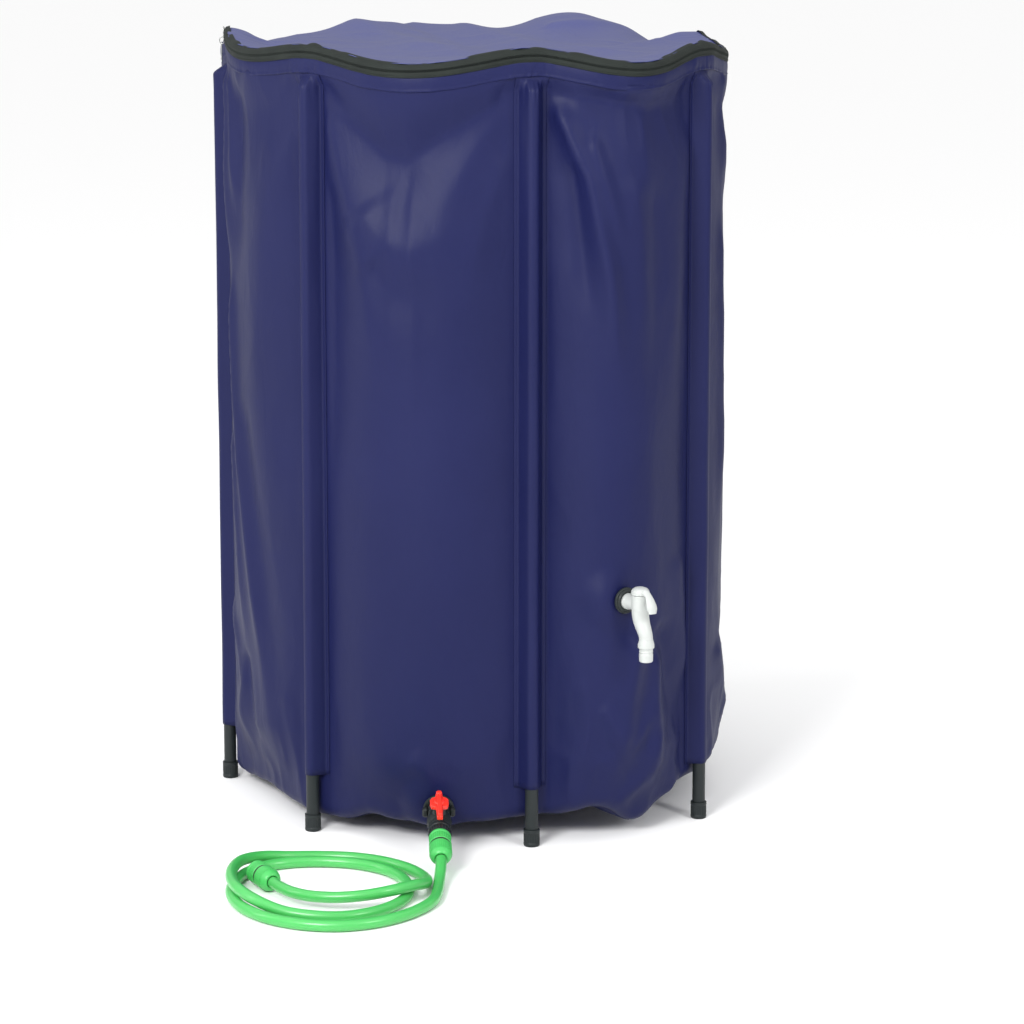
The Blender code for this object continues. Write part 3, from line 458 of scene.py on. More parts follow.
# %% Route of the hose
RING_CENTRE = np.array([-0.0036, 0.0376])
HOSE_RADIUS = 0.0083
HOSE_ROUTE = (
    (-0.0387, -0.5381, 0.0283), (-0.0385, -0.5457, 0.0262), (-0.0388, -0.5580, 0.0222),
    (-0.0400, -0.5760, 0.0158), (-0.0412, -0.5970, 0.0107), (-0.0430, -0.6300, 0.0088),
    (-0.0500, -0.6720, 0.0087), (-0.0710, -0.7120, 0.0087),
    (-0.1020, -0.7450, 0.0087), (-0.1400, -0.7680, 0.0087), (-0.1850, -0.7780, 0.0087),
    (-0.2360, -0.7690, 0.0087), (-0.2830, -0.7420, 0.0087), (-0.3190, -0.7000, 0.0087),
    (-0.3390, -0.6500, 0.0087), (-0.3430, -0.5970, 0.0087), (-0.3300, -0.5450, 0.0087),
    (-0.3020, -0.5090, 0.0087), (-0.2620, -0.4900, 0.0087), (-0.2150, -0.4860, 0.0087),
    (-0.1680, -0.4960, 0.0087), (-0.1270, -0.5210, 0.0087), (-0.0990, -0.5590, 0.0087),
    (-0.0860, -0.6030, 0.0087), (-0.0870, -0.6480, 0.0087), (-0.1050, -0.6900, 0.0087),
    (-0.1370, -0.7220, 0.0087), (-0.1770, -0.7390, 0.0087), (-0.2180, -0.7410, 0.0107),
    (-0.2620, -0.7290, 0.0140), (-0.3020, -0.7030, 0.0220), (-0.3300, -0.6630, 0.0260),
    (-0.3430, -0.6160, 0.0260), (-0.3440, -0.5700, 0.0260), (-0.3330, -0.5250, 0.0240),
    (-0.3060, -0.4890, 0.0180), (-0.2660, -0.4680, 0.0110), (-0.2200, -0.4610, 0.0087),
    (-0.1700, -0.4680, 0.0087), (-0.1240, -0.4890, 0.0087), (-0.0860, -0.5230, 0.0087),
    (-0.0630, -0.5660, 0.0097), (-0.0600, -0.6120, 0.0170), (-0.0780, -0.6510, 0.0255),
    (-0.1090, -0.6770, 0.0265), (-0.1460, -0.6885, 0.0235), (-0.1860, -0.6875, 0.0202),
    (-0.2240, -0.6760, 0.0184), (-0.2520, -0.6560, 0.0176), (-0.2720, -0.6310, 0.0176),
    (-0.2830, -0.6100, 0.0176))


def smooth_route(points, steps=12):
    """A Catmull-Rom curve through the points, with its ends carried on straight."""
    points = np.array(points)
    points = np.vstack([2 * points[0] - points[1], points, 2 * points[-1] - points[-2]])
    t = (np.arange(steps) / steps)[:, None]
    spans = []
    for a, b, c, d in zip(points, points[1:], points[2:], points[3:]):
        spans.append(0.5 * (2 * b + (c - a) * t + (2 * a - 5 * b + 4 * c - d) * t ** 2
                            + (3 * b - a - 3 * c + d) * t ** 3))
    return np.vstack([*spans, points[-2:-1]])


route = smooth_route(HOSE_ROUTE) + [*RING_CENTRE, 0]
curve = bpy.data.curves.new("hose", "CURVE")
curve.dimensions = "3D"
curve.bevel_depth = HOSE_RADIUS
curve.bevel_resolution = 8
curve.use_fill_caps = True
add_line(curve, route).use_smooth = True
curve.materials.append(FINISHES["green_hose"])
hose = bpy.data.objects.new("hose_tube", curve)
bpy.context.scene.collection.objects.link(hose)
mount(hose, "tank", "hose")

# %% [markdown]
# ## What repeats: one tree along a path, one round an axis
# Teeth, stitches and grip ribs are the same small shape many times. Two Geometry Nodes trees place
# them: one spaces copies of an item along a curve and turns each to follow it, the other sets a
# number of copies round an axis. Both end in Realize Instances and Set Material, and the result is
# turned into a plain mesh, because the export keeps no instances.


# %% Geometry Nodes helpers
def start_tree(name, inputs):
    """A modifier tree with a geometry output and named inputs: (name, socket type, value)."""
    tree = bpy.data.node_groups.new(name, "GeometryNodeTree")
    face = tree.interface
    face.new_socket("Geometry", in_out="INPUT", socket_type="NodeSocketGeometry")
    for label, kind, value in inputs:
        socket = face.new_socket(label, in_out="INPUT", socket_type=kind)
        if value is not None:
            socket.default_value = value
    face.new_socket("Geometry", in_out="OUTPUT", socket_type="NodeSocketGeometry")
    bench = Bench(tree)
    entry = tree.nodes.new("NodeGroupInput")
    return bench, {socket.name: Flow(bench, socket) for socket in entry.outputs if socket.name}


def end_tree(bench, sockets, spots, rotation):
    """Set the item at the spots, realize the copies, give them their material and send them out."""
    item = bench.node("GeometryNodeObjectInfo", None, {"Object": sockets["Item"]}, "Geometry")
    copies = bench.node("GeometryNodeInstanceOnPoints", None,
                        {"Points": spots, "Instance": item, "Rotation": rotation})
    solid = bench.node("GeometryNodeRealizeInstances", None, {"Geometry": copies})
    painted = bench.node("GeometryNodeSetMaterial", None,
                         {"Geometry": solid, "Material": sockets["Finish"]})
    leave = bench.tree.nodes.new("NodeGroupOutput")
    bench.wire(painted, leave.inputs["Geometry"])
    return bench.tree


bench, sockets = start_tree("copies along a path", (
    ("Item", "NodeSocketObject", None), ("Spacing", "NodeSocketFloat", 0.0025),
    ("Finish", "NodeSocketMaterial", None)))
spots = bench.node("GeometryNodeCurveToPoints", {"mode": "LENGTH"},
                   {"Curve": sockets["Geometry"], "Length": sockets["Spacing"]})
tangent = Flow(bench, spots.socket.node.outputs["Tangent"])
follow = bench.node("FunctionNodeAlignRotationToVector", {"axis": "X"}, {"Vector": tangent})
upright = bench.node("FunctionNodeAlignRotationToVector", {"axis": "Z", "pivot_axis": "X"},
                     {"Rotation": follow, "Vector": (0, 0, 1)})
ALONG_PATH = end_tree(bench, sockets, spots, upright)

bench, sockets = start_tree("copies round an axis", (
    ("Item", "NodeSocketObject", None), ("Count", "NodeSocketInt", 12),
    ("Finish", "NodeSocketMaterial", None)))
spots = bench.node("GeometryNodePoints", None, {"Count": sockets["Count"]})
number = bench.node("GeometryNodeInputIndex")
share = bench.node("ShaderNodeMath", {"operation": "DIVIDE"}, {0: number, 1: sockets["Count"]})
turn = bench.node("ShaderNodeCombineXYZ", None, {"Z": share * (2 * math.pi)})
spin = bench.node("FunctionNodeEulerToRotation", None, {"Euler": turn})
ROUND_AXIS = end_tree(bench, sockets, spots, spin)


def run_tree(name, tree, start, item_mesh, settings, finish):
    """Run a tree on a curve or an empty mesh and keep its result as a plain mesh."""
    holder = bpy.data.objects.new(name, start)
    item_object = bpy.data.objects.new("item", item_mesh)
    for thing in (holder, item_object):
        bpy.context.scene.collection.objects.link(thing)
    modifier = holder.modifiers.new("copies", "NODES")
    modifier.node_group = tree
    keys = {s.name: s.identifier for s in tree.interface.items_tree if s.in_out == "INPUT"}
    for label, value in {**settings, "Item": item_object, "Finish": FINISHES[finish]}.items():
        modifier[keys[label]] = value
    shown = holder.evaluated_get(bpy.context.evaluated_depsgraph_get())
    mesh = bpy.data.meshes.new_from_object(shown)
    bpy.data.objects.remove(holder)
    bpy.data.objects.remove(item_object)
    mesh.materials.clear()
    return mesh


def path_curve(points):
    """A poly curve through points, as the start of a row of copies."""
    path = bpy.data.curves.new("path", "CURVE")
    path.dimensions = "3D"
    add_line(path, points)
    return path


def pebble(size, corner=0.3, middle=(0, 0, 0)):
    """A small block with bevelled edges, for an item."""
    shape = bmesh.new()
    bmesh.ops.create_cube(shape, size=1.0)
    bmesh.ops.scale(shape, vec=size, verts=shape.verts)
    bmesh.ops.bevel(shape, geom=shape.edges[:], offset=min(size) * corner, segments=1, affect="EDGES")
    bmesh.ops.translate(shape, vec=middle, verts=shape.verts)
    mesh = bpy.data.meshes.new("pebble")
    shape.to_mesh(mesh)
    shape.free()
    return mesh


def ribs(name, count, size, middle, finish, body, place):
    """A piece of grip ribs set round an axis."""
    start = bpy.data.meshes.new("start")
    mesh = run_tree("ribs", ROUND_AXIS, start, pebble(size, 0.3, middle), {"Count": count}, finish)
    mesh.transform(place)
    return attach(link(name, mesh, finish), body)


print("trees", ALONG_PATH.name, "and", ROUND_AXIS.name)

# %% [markdown]
# ## The tank's plan
# The cloth is flat where it is welded behind each pipe and bows out between the pipes, more on one
# side than on the other. Each bow is a Bezier curve between two flat seats, as on the CAD wall. The
# pipes' places come from the frame, and only the depth of the bows is repeated here.

# %% Seats and bows
SEAT_WIDTH, SEAT_INSET = 0.050, 0.0125
BOWS = ((0.030, 0.035), (0.070, 0.070), (0.092, 0.052), (0.040, 0.030),
        (0.045, 0.045), (0.050, 0.050), (0.045, 0.045), (0.050, 0.045))
HEM_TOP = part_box("rim_hem")[1].z
LIFTS = (0.015, 0.004, 0.004, 0.004, 0.001, 0.0, 0.0, 0.0)     # of the rim at each leg
SAGS = (0.0165, 0.022, 0.022, 0.018, 0.022, 0.022, 0.022, 0.018)


def middle_of(node):
    """Centre of a CAD node's box."""
    low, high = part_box(node)
    return np.array((low + high) / 2)


LEGS = np.array([middle_of(f"foot_cap_{n + 1}")[:2] for n in range(8)])
OUTWARD = (LEGS - RING_CENTRE) / np.linalg.norm(LEGS - RING_CENTRE, axis=1)[:, None]
ALONG = np.stack([-OUTWARD[:, 1], OUTWARD[:, 0]], axis=1)
SEATS = LEGS - OUTWARD * SEAT_INSET


def on_bow(lobe, t):
    """Place, facing and chord direction of the bow between a leg and the next, at shares t."""
    start = SEATS[lobe] + ALONG[lobe] * SEAT_WIDTH / 2
    end = SEATS[(lobe + 1) % 8] - ALONG[(lobe + 1) % 8] * SEAT_WIDTH / 2
    chord = (end - start) / np.linalg.norm(end - start)
    out = np.array([chord[1], -chord[0]])
    lean = (end - start) * (0.30 if lobe < 4 else 0.22)
    b = start + out * BOWS[lobe][0] * 4 / 3 + lean
    c = end + out * BOWS[lobe][1] * 4 / 3 - lean
    t = np.asarray(t)[:, None]
    s = 1 - t
    place = start * s ** 3 + b * 3 * s * s * t + c * 3 * s * t * t + end * t ** 3
    slope = (b - start) * s * s + (c - b) * 2 * s * t + (end - c) * t * t
    slope /= np.linalg.norm(slope, axis=1)[:, None]
    return place, np.stack([slope[:, 1], -slope[:, 0]], axis=1), np.tile(out, (len(t), 1))


CREST_PUSH = (0.003, 0.0115, 0.0115, 0.010, 0.003, 0.007, 0.007, 0.007)
SEAT_SHARE = 0.2              # of the way from one leg to the next
CREST_STEPS = 200             # from one leg to the next
CREST_EDGE = 0.12             # share of a bow over which the push fades
CREST_REACH, CREST_SPREAD = 40, 13.0


def crest_table():
    """Smooth plan and height of the rim, where the cloth runs over the pipes' tops."""
    rows = []
    for i in range(8):
        shares = np.arange(int(CREST_STEPS * SEAT_SHARE)) / (CREST_STEPS * SEAT_SHARE)
        flat = SEATS[i] + ALONG[i] * ((shares - 0.5) * SEAT_WIDTH)[:, None] + OUTWARD[i] * CREST_PUSH[i]
        t = np.arange(int(CREST_STEPS * (1 - SEAT_SHARE))) / (CREST_STEPS * (1 - SEAT_SHARE))
        after = (i + 1) % 8
        edge = CREST_PUSH[i] * smooth_step(1 - t / CREST_EDGE)
        edge = edge + CREST_PUSH[after] * smooth_step((t - (1 - CREST_EDGE)) / CREST_EDGE)
        place, facing, _ = on_bow(i, t)
        bowed = place + facing * edge[:, None]
        rim = HEM_TOP + LIFTS[i] * (1 - t) + LIFTS[after] * t - SAGS[i] * np.sin(np.pi * t)
        rows.append(np.column_stack([flat, np.full(len(shares), HEM_TOP + LIFTS[i])]))
        rows.append(np.column_stack([bowed, rim]))
    table = np.vstack(rows)
    reach = np.arange(-CREST_REACH, CREST_REACH + 1)
    weights = np.exp(-(reach / CREST_SPREAD) ** 2)
    weights /= weights.sum()
    around = np.vstack([table[-CREST_REACH:], table, table[:CREST_REACH]])
    soft = np.column_stack([np.convolve(around[:, k], weights, mode="valid") for k in range(3)])
    return np.vstack([soft, soft[:1]])


CREST = crest_table()


def on_crest(way):
    """Plan, facing and height of the rim at a way round the tank counted in legs."""
    spot = ((np.asarray(way) + SEAT_SHARE / 2) % 8) * CREST_STEPS
    grid = np.arange(len(CREST))
    place = np.column_stack([np.interp(spot, grid, CREST[:, k]) for k in range(3)])
    onward = (spot + 1) % (8 * CREST_STEPS)
    ahead = np.column_stack([np.interp(onward, grid, CREST[:, k]) for k in (0, 1)])
    slope = ahead - place[:, :2]
    slope /= np.linalg.norm(slope, axis=1)[:, None]
    return place[:, :2], np.stack([slope[:, 1], -slope[:, 0]], axis=1), place[:, 2]


def outline(first, last, low=0.5, high=0.5, seat_steps=8, bow_steps=60):
    """Columns round the tank from a share of one leg's seat to a share of another's."""
    parts = []
    for leg in range(first, last + 1):
        i = leg % 8
        begin = low if leg == first else 0.0
        stop = high if leg == last else 1.0
        if stop > begin:
            shares = np.linspace(begin, stop, seat_steps + 1)
            place = SEATS[i] + ALONG[i] * ((shares - 0.5) * SEAT_WIDTH)[:, None]
            same = np.tile(OUTWARD[i], (len(shares), 1))
            parts.append((place, same, same, np.full(len(shares), i), np.full(len(shares), -1.0),
                          leg + (shares - 0.5) * SEAT_SHARE))
        if leg < last:
            t = np.linspace(0, 1, bow_steps + 1)[1:-1]
            place, facing, out = on_bow(i, t)
            way = leg + SEAT_SHARE / 2 + t * (1 - SEAT_SHARE)
            parts.append((place, facing, out, np.full(len(t), i), t, way))
    names = ("place", "facing", "chord_out", "lobe", "t", "way")
    columns = {name: np.concatenate([part[k] for part in parts]) for k, name in enumerate(names)}
    columns["crest"], columns["crest_facing"], columns["rim"] = on_crest(columns["way"])
    columns["run"] = run_lengths(columns["place"])
    return columns


print("legs", LEGS.round(3).tolist(), "rim at the legs", round(HEM_TOP, 4))

# %% [markdown]
# ## Folds
# The cloth hangs from the pipe tops and the rim, so it is creased: a pull runs down and inwards from
# each pipe's top, a dent lies under the sagging rim, and short crumples lie where the bag was folded.
# A fold here is a ridge along a short path, in shares of the bow and metres of height. It has a
# height, a width, and fades towards its end. Smooth noise on a lattice adds what has no path.


# %% Fold and noise functions
FOLD_POWER = 1.6              # of a ridge's fall to its sides


def fold(x, z, path, height, width):
    """Height of a ridge along a path at points (x, z). It widens and fades along its way."""
    path = np.array(path)
    lengths = run_lengths(path)
    best = np.full(x.shape, 1e9)
    along = np.zeros(x.shape)
    for a, b, before in zip(path, path[1:], lengths):
        d = b - a
        s = np.clip(((x - a[0]) * d[0] + (z - a[1]) * d[1]) / (d @ d), 0, 1)
        away = np.hypot(x - a[0] - s * d[0], z - a[1] - s * d[1])
        nearer = away < best
        best = np.where(nearer, away, best)
        along = np.where(nearer, (before + s * np.hypot(*d)) / lengths[-1], along)
    fade = smooth_step(along / 0.12 + 0.15) * smooth_step((1 - along) / 0.45)
    return height * fade * np.exp(-(best / (width * (1 + 0.8 * along))) ** FOLD_POWER)


def lattice_noise(x, y, seed):
    """Smooth noise from -1 to 1 on a lattice of unit cells."""
    table = np.random.RandomState(seed).uniform(-1, 1, (64, 64))
    i, j = np.floor(x).astype(int), np.floor(y).astype(int)
    fx, fy = smooth_step(x - i), smooth_step(y - j)
    low = table[i % 64, j % 64] * (1 - fx) + table[(i + 1) % 64, j % 64] * fx
    high = table[i % 64, (j + 1) % 64] * (1 - fx) + table[(i + 1) % 64, (j + 1) % 64] * fx
    return low * (1 - fy) + high * fy


def creases(x, y, seed, turn=0.6):
    """Ridged noise: flat facets that meet in soft creases, from 0 to 1."""
    a, b = math.cos(turn), math.sin(turn)
    first = 1 - np.abs(lattice_noise(a * x + b * y, a * y - b * x, seed))
    second = 1 - np.abs(lattice_noise(2.3 * x, 2.3 * y + 7, seed + 1))
    return (first ** 2 * 0.7 + second ** 2 * 0.3)


# height, width, path of (share of the bow, height)
FOLDS = {
    0: ((0.0110, 0.013, ((0.03, 1.17), (0.08, 1.08), (0.17, 0.95), (0.22, 0.80))),
        (0.0075, 0.010, ((0.16, 1.16), (0.24, 1.05), (0.30, 0.92))),
        (-0.0080, 0.022, ((0.33, 1.15), (0.36, 1.00), (0.38, 0.80))),
        (0.0085, 0.040, ((0.95, 1.10), (0.74, 0.96), (0.66, 0.75), (0.64, 0.40))),
        (0.0100, 0.012, ((0.22, 0.86), (0.40, 0.56), (0.58, 0.33), (0.80, 0.06))),
        (0.0070, 0.010, ((0.20, 0.60), (0.36, 0.38), (0.46, 0.22))),
        (-0.0050, 0.020, ((0.44, 0.66), (0.62, 0.42), (0.82, 0.16))),
        (0.0050, 0.009, ((0.10, 0.32), (0.36, 0.19), (0.26, 0.06))),
        (-0.0060, 0.012, ((0.40, 0.25), (0.50, 0.12), (0.66, 0.07)))),
    1: ((0.0120, 0.026, ((0.02, 1.14), (0.12, 1.02), (0.26, 0.90), (0.36, 0.66))),
        (-0.0050, 0.026, ((0.02, 1.04), (0.06, 0.86), (0.08, 0.50))),
        (0.0030, 0.012, ((0.40, 1.02), (0.415, 0.92), (0.42, 0.66))),
        (0.0034, 0.014, ((0.50, 1.02), (0.51, 0.90), (0.52, 0.58))),
        (0.0090, 0.036, ((0.24, 0.985), (0.36, 0.935), (0.50, 0.915), (0.64, 0.935), (0.82, 1.00))),
        (-0.0060, 0.030, ((0.30, 0.90), (0.42, 0.85), (0.54, 0.845), (0.66, 0.87))),
        (0.0040, 0.016, ((0.98, 1.13), (0.80, 1.05), (0.64, 0.96))),
        (0.0030, 0.014, ((0.97, 1.06), (0.86, 0.96), (0.76, 0.80))),
        (0.0028, 0.016, ((0.95, 1.15), (0.74, 1.10), (0.58, 1.07))),
        (0.0040, 0.018, ((0.50, 0.15), (0.64, 0.10), (0.80, 0.10)))),
    2: ((0.0180, 0.012, ((0.02, 1.145), (0.09, 1.10), (0.20, 1.02), (0.30, 0.88), (0.37, 0.68))),
        (-0.0090, 0.012, ((0.10, 1.05), (0.14, 0.95), (0.20, 0.80))),
        (0.0085, 0.010, ((0.20, 1.09), (0.29, 1.01), (0.40, 0.90))),
        (0.0040, 0.020, ((0.44, 1.03), (0.52, 0.92), (0.56, 0.70))),
        (-0.0045, 0.026, ((0.62, 1.02), (0.62, 0.80), (0.58, 0.60))),
        (0.0060, 0.024, ((0.97, 1.10), (0.86, 0.98), (0.80, 0.80), (0.78, 0.60))),
        (0.0110, 0.022, ((0.50, 0.33), (0.42, 0.20), (0.30, 0.06))),
        (-0.0120, 0.022, ((0.70, 0.34), (0.80, 0.22), (0.90, 0.06))),
        (0.0100, 0.018, ((0.66, 0.30), (0.62, 0.18), (0.60, 0.02))),
        (0.0060, 0.018, ((0.86, 0.44), (0.93, 0.30), (0.97, 0.18))),
        (0.0050, 0.010, ((0.26, 0.22), (0.40, 0.17), (0.52, 0.19))),
        (0.0050, 0.010, ((0.46, 0.15), (0.60, 0.20), (0.70, 0.17))),
        (0.0060, 0.012, ((0.40, 0.06), (0.60, 0.10), (0.74, 0.17))),
        (-0.0050, 0.010, ((0.30, 0.16), (0.46, 0.11), (0.56, 0.10)))),
    3: ((0.0090, 0.012, ((0.20, 1.17), (0.30, 1.08), (0.36, 0.96))),
        (-0.0080, 0.016, ((0.50, 1.10), (0.52, 1.02), (0.50, 0.90))),
        (0.0060, 0.012, ((0.22, 0.95), (0.26, 0.60), (0.24, 0.30))),
        (-0.0060, 0.012, ((0.40, 0.90), (0.44, 0.50), (0.42, 0.20))),
        (0.0060, 0.014, ((0.60, 0.80), (0.62, 0.50), (0.60, 0.15))),
        (0.0070, 0.016, ((0.20, 0.26), (0.42, 0.16), (0.62, 0.09))),
        (-0.0070, 0.014, ((0.30, 0.30), (0.50, 0.22), (0.70, 0.20)))),
}
for lobe in range(4, 8):
    chance = np.random.RandomState(40 + lobe)
    drawn = []
    for side in (0, 1):
        for number in range(3):
            reach = chance.uniform(0.15, 0.42)
            fall = chance.uniform(0.15, 0.5)
            path = [(0.02, 1.14), (reach * 0.6, 1.14 - fall * 0.4), (reach, 1.14 - fall)]
            if side:
                path = [(1 - t, z) for t, z in path]
            drawn.append((chance.uniform(0.004, 0.008), chance.uniform(0.012, 0.026), tuple(path)))
    for number in range(5):
        t, z = chance.uniform(0.15, 0.85), chance.uniform(0.3, 0.8)
        path = ((t, z), (t + chance.uniform(-0.1, 0.1), z - 0.25), (t + chance.uniform(-0.2, 0.2), 0.1))
        drawn.append((chance.uniform(-0.006, 0.006), chance.uniform(0.015, 0.03), path))
    FOLDS[lobe] = tuple(drawn)
print("folds drawn", sum(len(paths) for paths in FOLDS.values()))

# %% [markdown]
# ## The bag's wall
# The wall is one sheet welded to the pipes' sleeves, hung from the rim and tucked in at the foot.
# It is made as a front and a back half. Each column starts under the floor, rolls up round the
# bottom edge and rises to the rim, and is moved in or out by the dents and folds. Where the two
# fittings are clamped, it lies flat against their flanges.

# %% Wall shape
CLOTH = 0.0008
ROLL = 0.022                  # radius of the rolled bottom edge
TUCK_HEIGHT, TUCK = 0.130, 0.028
TUCK_SHARES = {3: 0.25}       # of the tuck on the lobe that is tucked in less
HANG_DROP = 0.055             # under the pipes' tops, where the cloth between them turns to the rim
FACETS, RIPPLES = 0.0050, 0.0030
CRUMPLED = {1: 0.40, 2: 1.2, 3: 1.3}
PIPE_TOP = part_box("leg_1")[1].z
FOOT_EDGES = {
    0: ((0, 0.016), (0.5, 0.024), (1, 0.018)),
    1: ((0, 0.018), (0.10, 0.024), (0.22, 0.040), (0.38, 0.030), (0.55, 0.036), (0.8, 0.034), (1, 0.036)),
    2: ((0, 0.038), (0.26, 0.056), (0.40, 0.046), (0.52, 0.024), (0.64, 0.018), (0.80, 0.046), (1, 0.062)),
    3: ((0, 0.062), (0.3, 0.066), (0.6, 0.040), (1, 0.036)),
}
# depth and line of the dent under the rim: depth, then (share, height) of its deepest line, fall-off
DENTS = {
    0: (0.007, ((0, 1.13), (0.5, 1.10), (1, 1.13)), 0.07),
    1: (0.034, ((0, 1.140), (0.15, 1.095), (0.34, 1.050), (0.48, 1.044), (0.70, 1.085), (1, 1.140)), 0.085),
    2: (0.020, ((0, 1.146), (0.30, 1.136), (0.62, 1.122), (0.85, 1.126), (1, 1.145)), 0.050),
    3: (0.010, ((0, 1.13), (0.5, 1.085), (1, 1.13)), 0.07),
}


def smoothed(values, width=9):
    """A running mean that keeps the ends."""
    padded = np.pad(values, width // 2, mode="edge")
    return np.convolve(padded, np.ones(width) / width, mode="valid")


def foot_height(columns):
    """Height of the bag's bottom edge at each column."""
    heights = np.full(len(columns["t"]), 0.034)
    for lobe in range(8):
        points = FOOT_EDGES.get(lobe, ((0, 0.036), (0.4, 0.030), (0.7, 0.038), (1, 0.036)))
        t = np.where(columns["t"] < 0, 0, columns["t"])
        here = columns["lobe"] == lobe
        heights[here] = np.interp(t, *zip(*points))[here]
    return smoothed(heights)


def dent(lobe, t, z, rim):
    """How far the wall is pulled in under the rim."""
    depth, line, fall = DENTS.get(lobe, (0.011, ((0, 1.13), (0.5, 1.09), (1, 1.13)), 0.08))
    deepest = np.interp(t, *zip(*line))
    above = np.clip((z - deepest) / np.maximum(rim - 0.020 - deepest, 0.004), 0, 1)
    under = np.clip(deepest - z, 0, None)
    below = 0.72 * np.exp(-(under / fall) ** 1.6) + 0.28 * np.exp(-under / (fall * 4))
    share = np.where(z > deepest, 1 - smooth_step(above) ** 0.8, below)
    return -depth * share * np.sin(np.pi * np.clip(t, 0, 1)) ** 0.7


def wall_offset(lobe, t, z, rim, span):
    """Offset outwards of the wall on one bow, at shares t and heights z."""
    x = t * span
    total = dent(lobe, t, z, rim)
    for height, width, path in FOLDS[lobe]:
        total += fold(x, z, [(a * span, b) for a, b in path], height, width)
    calm = 0.30 + 1.10 * smooth_step((0.32 - z) / 0.20) + 0.35 * smooth_step((z - 0.98) / 0.12)
    calm *= CRUMPLED.get(lobe, 1.0)
    total += FACETS * calm * (creases(x * 14 + lobe * 9, z * 8, 5 + lobe) - 0.6)
    total += RIPPLES * calm * lattice_noise(x * 24, z * 7 + lobe * 5, 31 + lobe)
    edge = smooth_step(t / 0.05) * smooth_step((1 - t) / 0.05)
    return total * edge


def fitting_frame(joint, facing, reach):
    """Local frame of a fitting: its origin on the wall and its Z out of it."""
    up = Vector(JOINTS[joint]["axis"]).normalized()
    side = Vector((math.cos(math.radians(facing)), math.sin(math.radians(facing)), 0))
    out = side.cross(up)
    return placed(side, up, out, Vector(JOINTS[joint]["pos_m"]) - out * reach)


BALL_AT, TAP_REACH = 0.042, 0.040
DRAIN = fitting_frame("drain_handle_turn", 2.0, BALL_AT)
TAP = fitting_frame("tap_lever_turn", 35.0, TAP_REACH)
QUARTER_BACK = Matrix.Rotation(-math.pi / 2, 4, "X")
STEM = DRAIN @ Matrix.Translation((0, 0, BALL_AT)) @ QUARTER_BACK
PLUG = TAP @ Matrix.Translation((0, 0, TAP_REACH)) @ QUARTER_BACK
CLAMP_DEPTH = 0.06            # only the cloth this near to a flange is laid flat
# place, radius that lies flat, radius that is free, gap to the flange
CLAMPS = ((DRAIN, 0.024, 0.064, -0.0006), (TAP, 0.021, 0.062, -0.0004))


def flatten(points):
    """Lay the cloth flat against the fittings' flanges."""
    for place, inner, outer, gap in CLAMPS:
        origin = np.array(place.to_translation())
        out = np.array(place.to_3x3().col[2])
        off = points - origin
        depth = off @ out
        away = np.linalg.norm(off - depth[..., None] * out, axis=-1)
        held = smooth_step((outer - away) / (outer - inner)) * (np.abs(depth) < CLAMP_DEPTH)
        points = points - ((depth - gap) * held)[..., None] * out
    return points


def wall_points(columns, rows=150, roll_rows=8):
    """Grid of the wall's outer face, from under the floor's edge up to the hem."""
    foot = foot_height(columns)
    spans = [run_lengths(on_bow(i, np.linspace(0, 1, 40))[0])[-1] for i in range(8)]
    grid = []
    for k in range(roll_rows):
        turn = math.pi / 2 * (1 - k / roll_rows)
        grid.append((-ROLL * (1 - math.cos(turn)), foot + ROLL * (1 - math.sin(turn))))
    base, top = foot + ROLL, columns["rim"] - 0.016
    for level in np.linspace(0, 1, rows):
        grid.append((0.0, base + (top - base) * level))
    points = []
    for inward, z in grid:
        offset = np.full(len(z), inward)
        tuck = smooth_step((TUCK_HEIGHT + 0.02 - z) / (TUCK_HEIGHT - 0.015)) * TUCK * 1.05
        for lobe, part in TUCK_SHARES.items():
            tuck = tuck * np.where(columns["lobe"] == lobe, part, 1.0)
        bowed = columns["t"] >= 0
        t = np.where(bowed, columns["t"], 0)
        shift = columns["chord_out"] * (tuck * np.sin(np.pi * t) * bowed)[:, None]
        for lobe in range(8):
            here = bowed & (columns["lobe"] == lobe)
            if here.any():
                offset[here] += wall_offset(lobe, t[here], z[here], columns["rim"][here], spans[lobe])
        place = columns["place"] - shift + columns["facing"] * offset[:, None]
        from_leg = np.abs(columns["way"] - np.round(columns["way"]))
        start = PIPE_TOP - HANG_DROP * smooth_step((from_leg - 0.12) / 0.15)
        rise = smooth_step((z - start) / (columns["rim"] - 0.018 - start))[:, None]
        place = place * (1 - rise) + (columns["crest"] + columns["facing"] * offset[:, None]) * rise
        points.append(np.column_stack([place, z]))
    return flatten(np.array(points))


BAG_HALVES = {}
for name, first, last, bow_steps in (("bag_front", 0, 4, 64), ("bag_back", 4, 8, 44)):
    columns = outline(first, last, bow_steps=bow_steps)
    points = wall_points(columns)
    piece = thicken(link(name, grid_mesh(name, points), "blue_pvc", sharp=80), CLOTH)
    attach(piece, "tank")
    BAG_HALVES[name] = (piece, columns["run"][-1], points)
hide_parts("tank_wall")
print("cloth round the tank", round(sum(half[1] for half in BAG_HALVES.values()), 3), "m")

# %% [markdown]
# ## The floor panel
# The floor is a round of the same cloth, welded to the wall's rolled edge and creased like it.

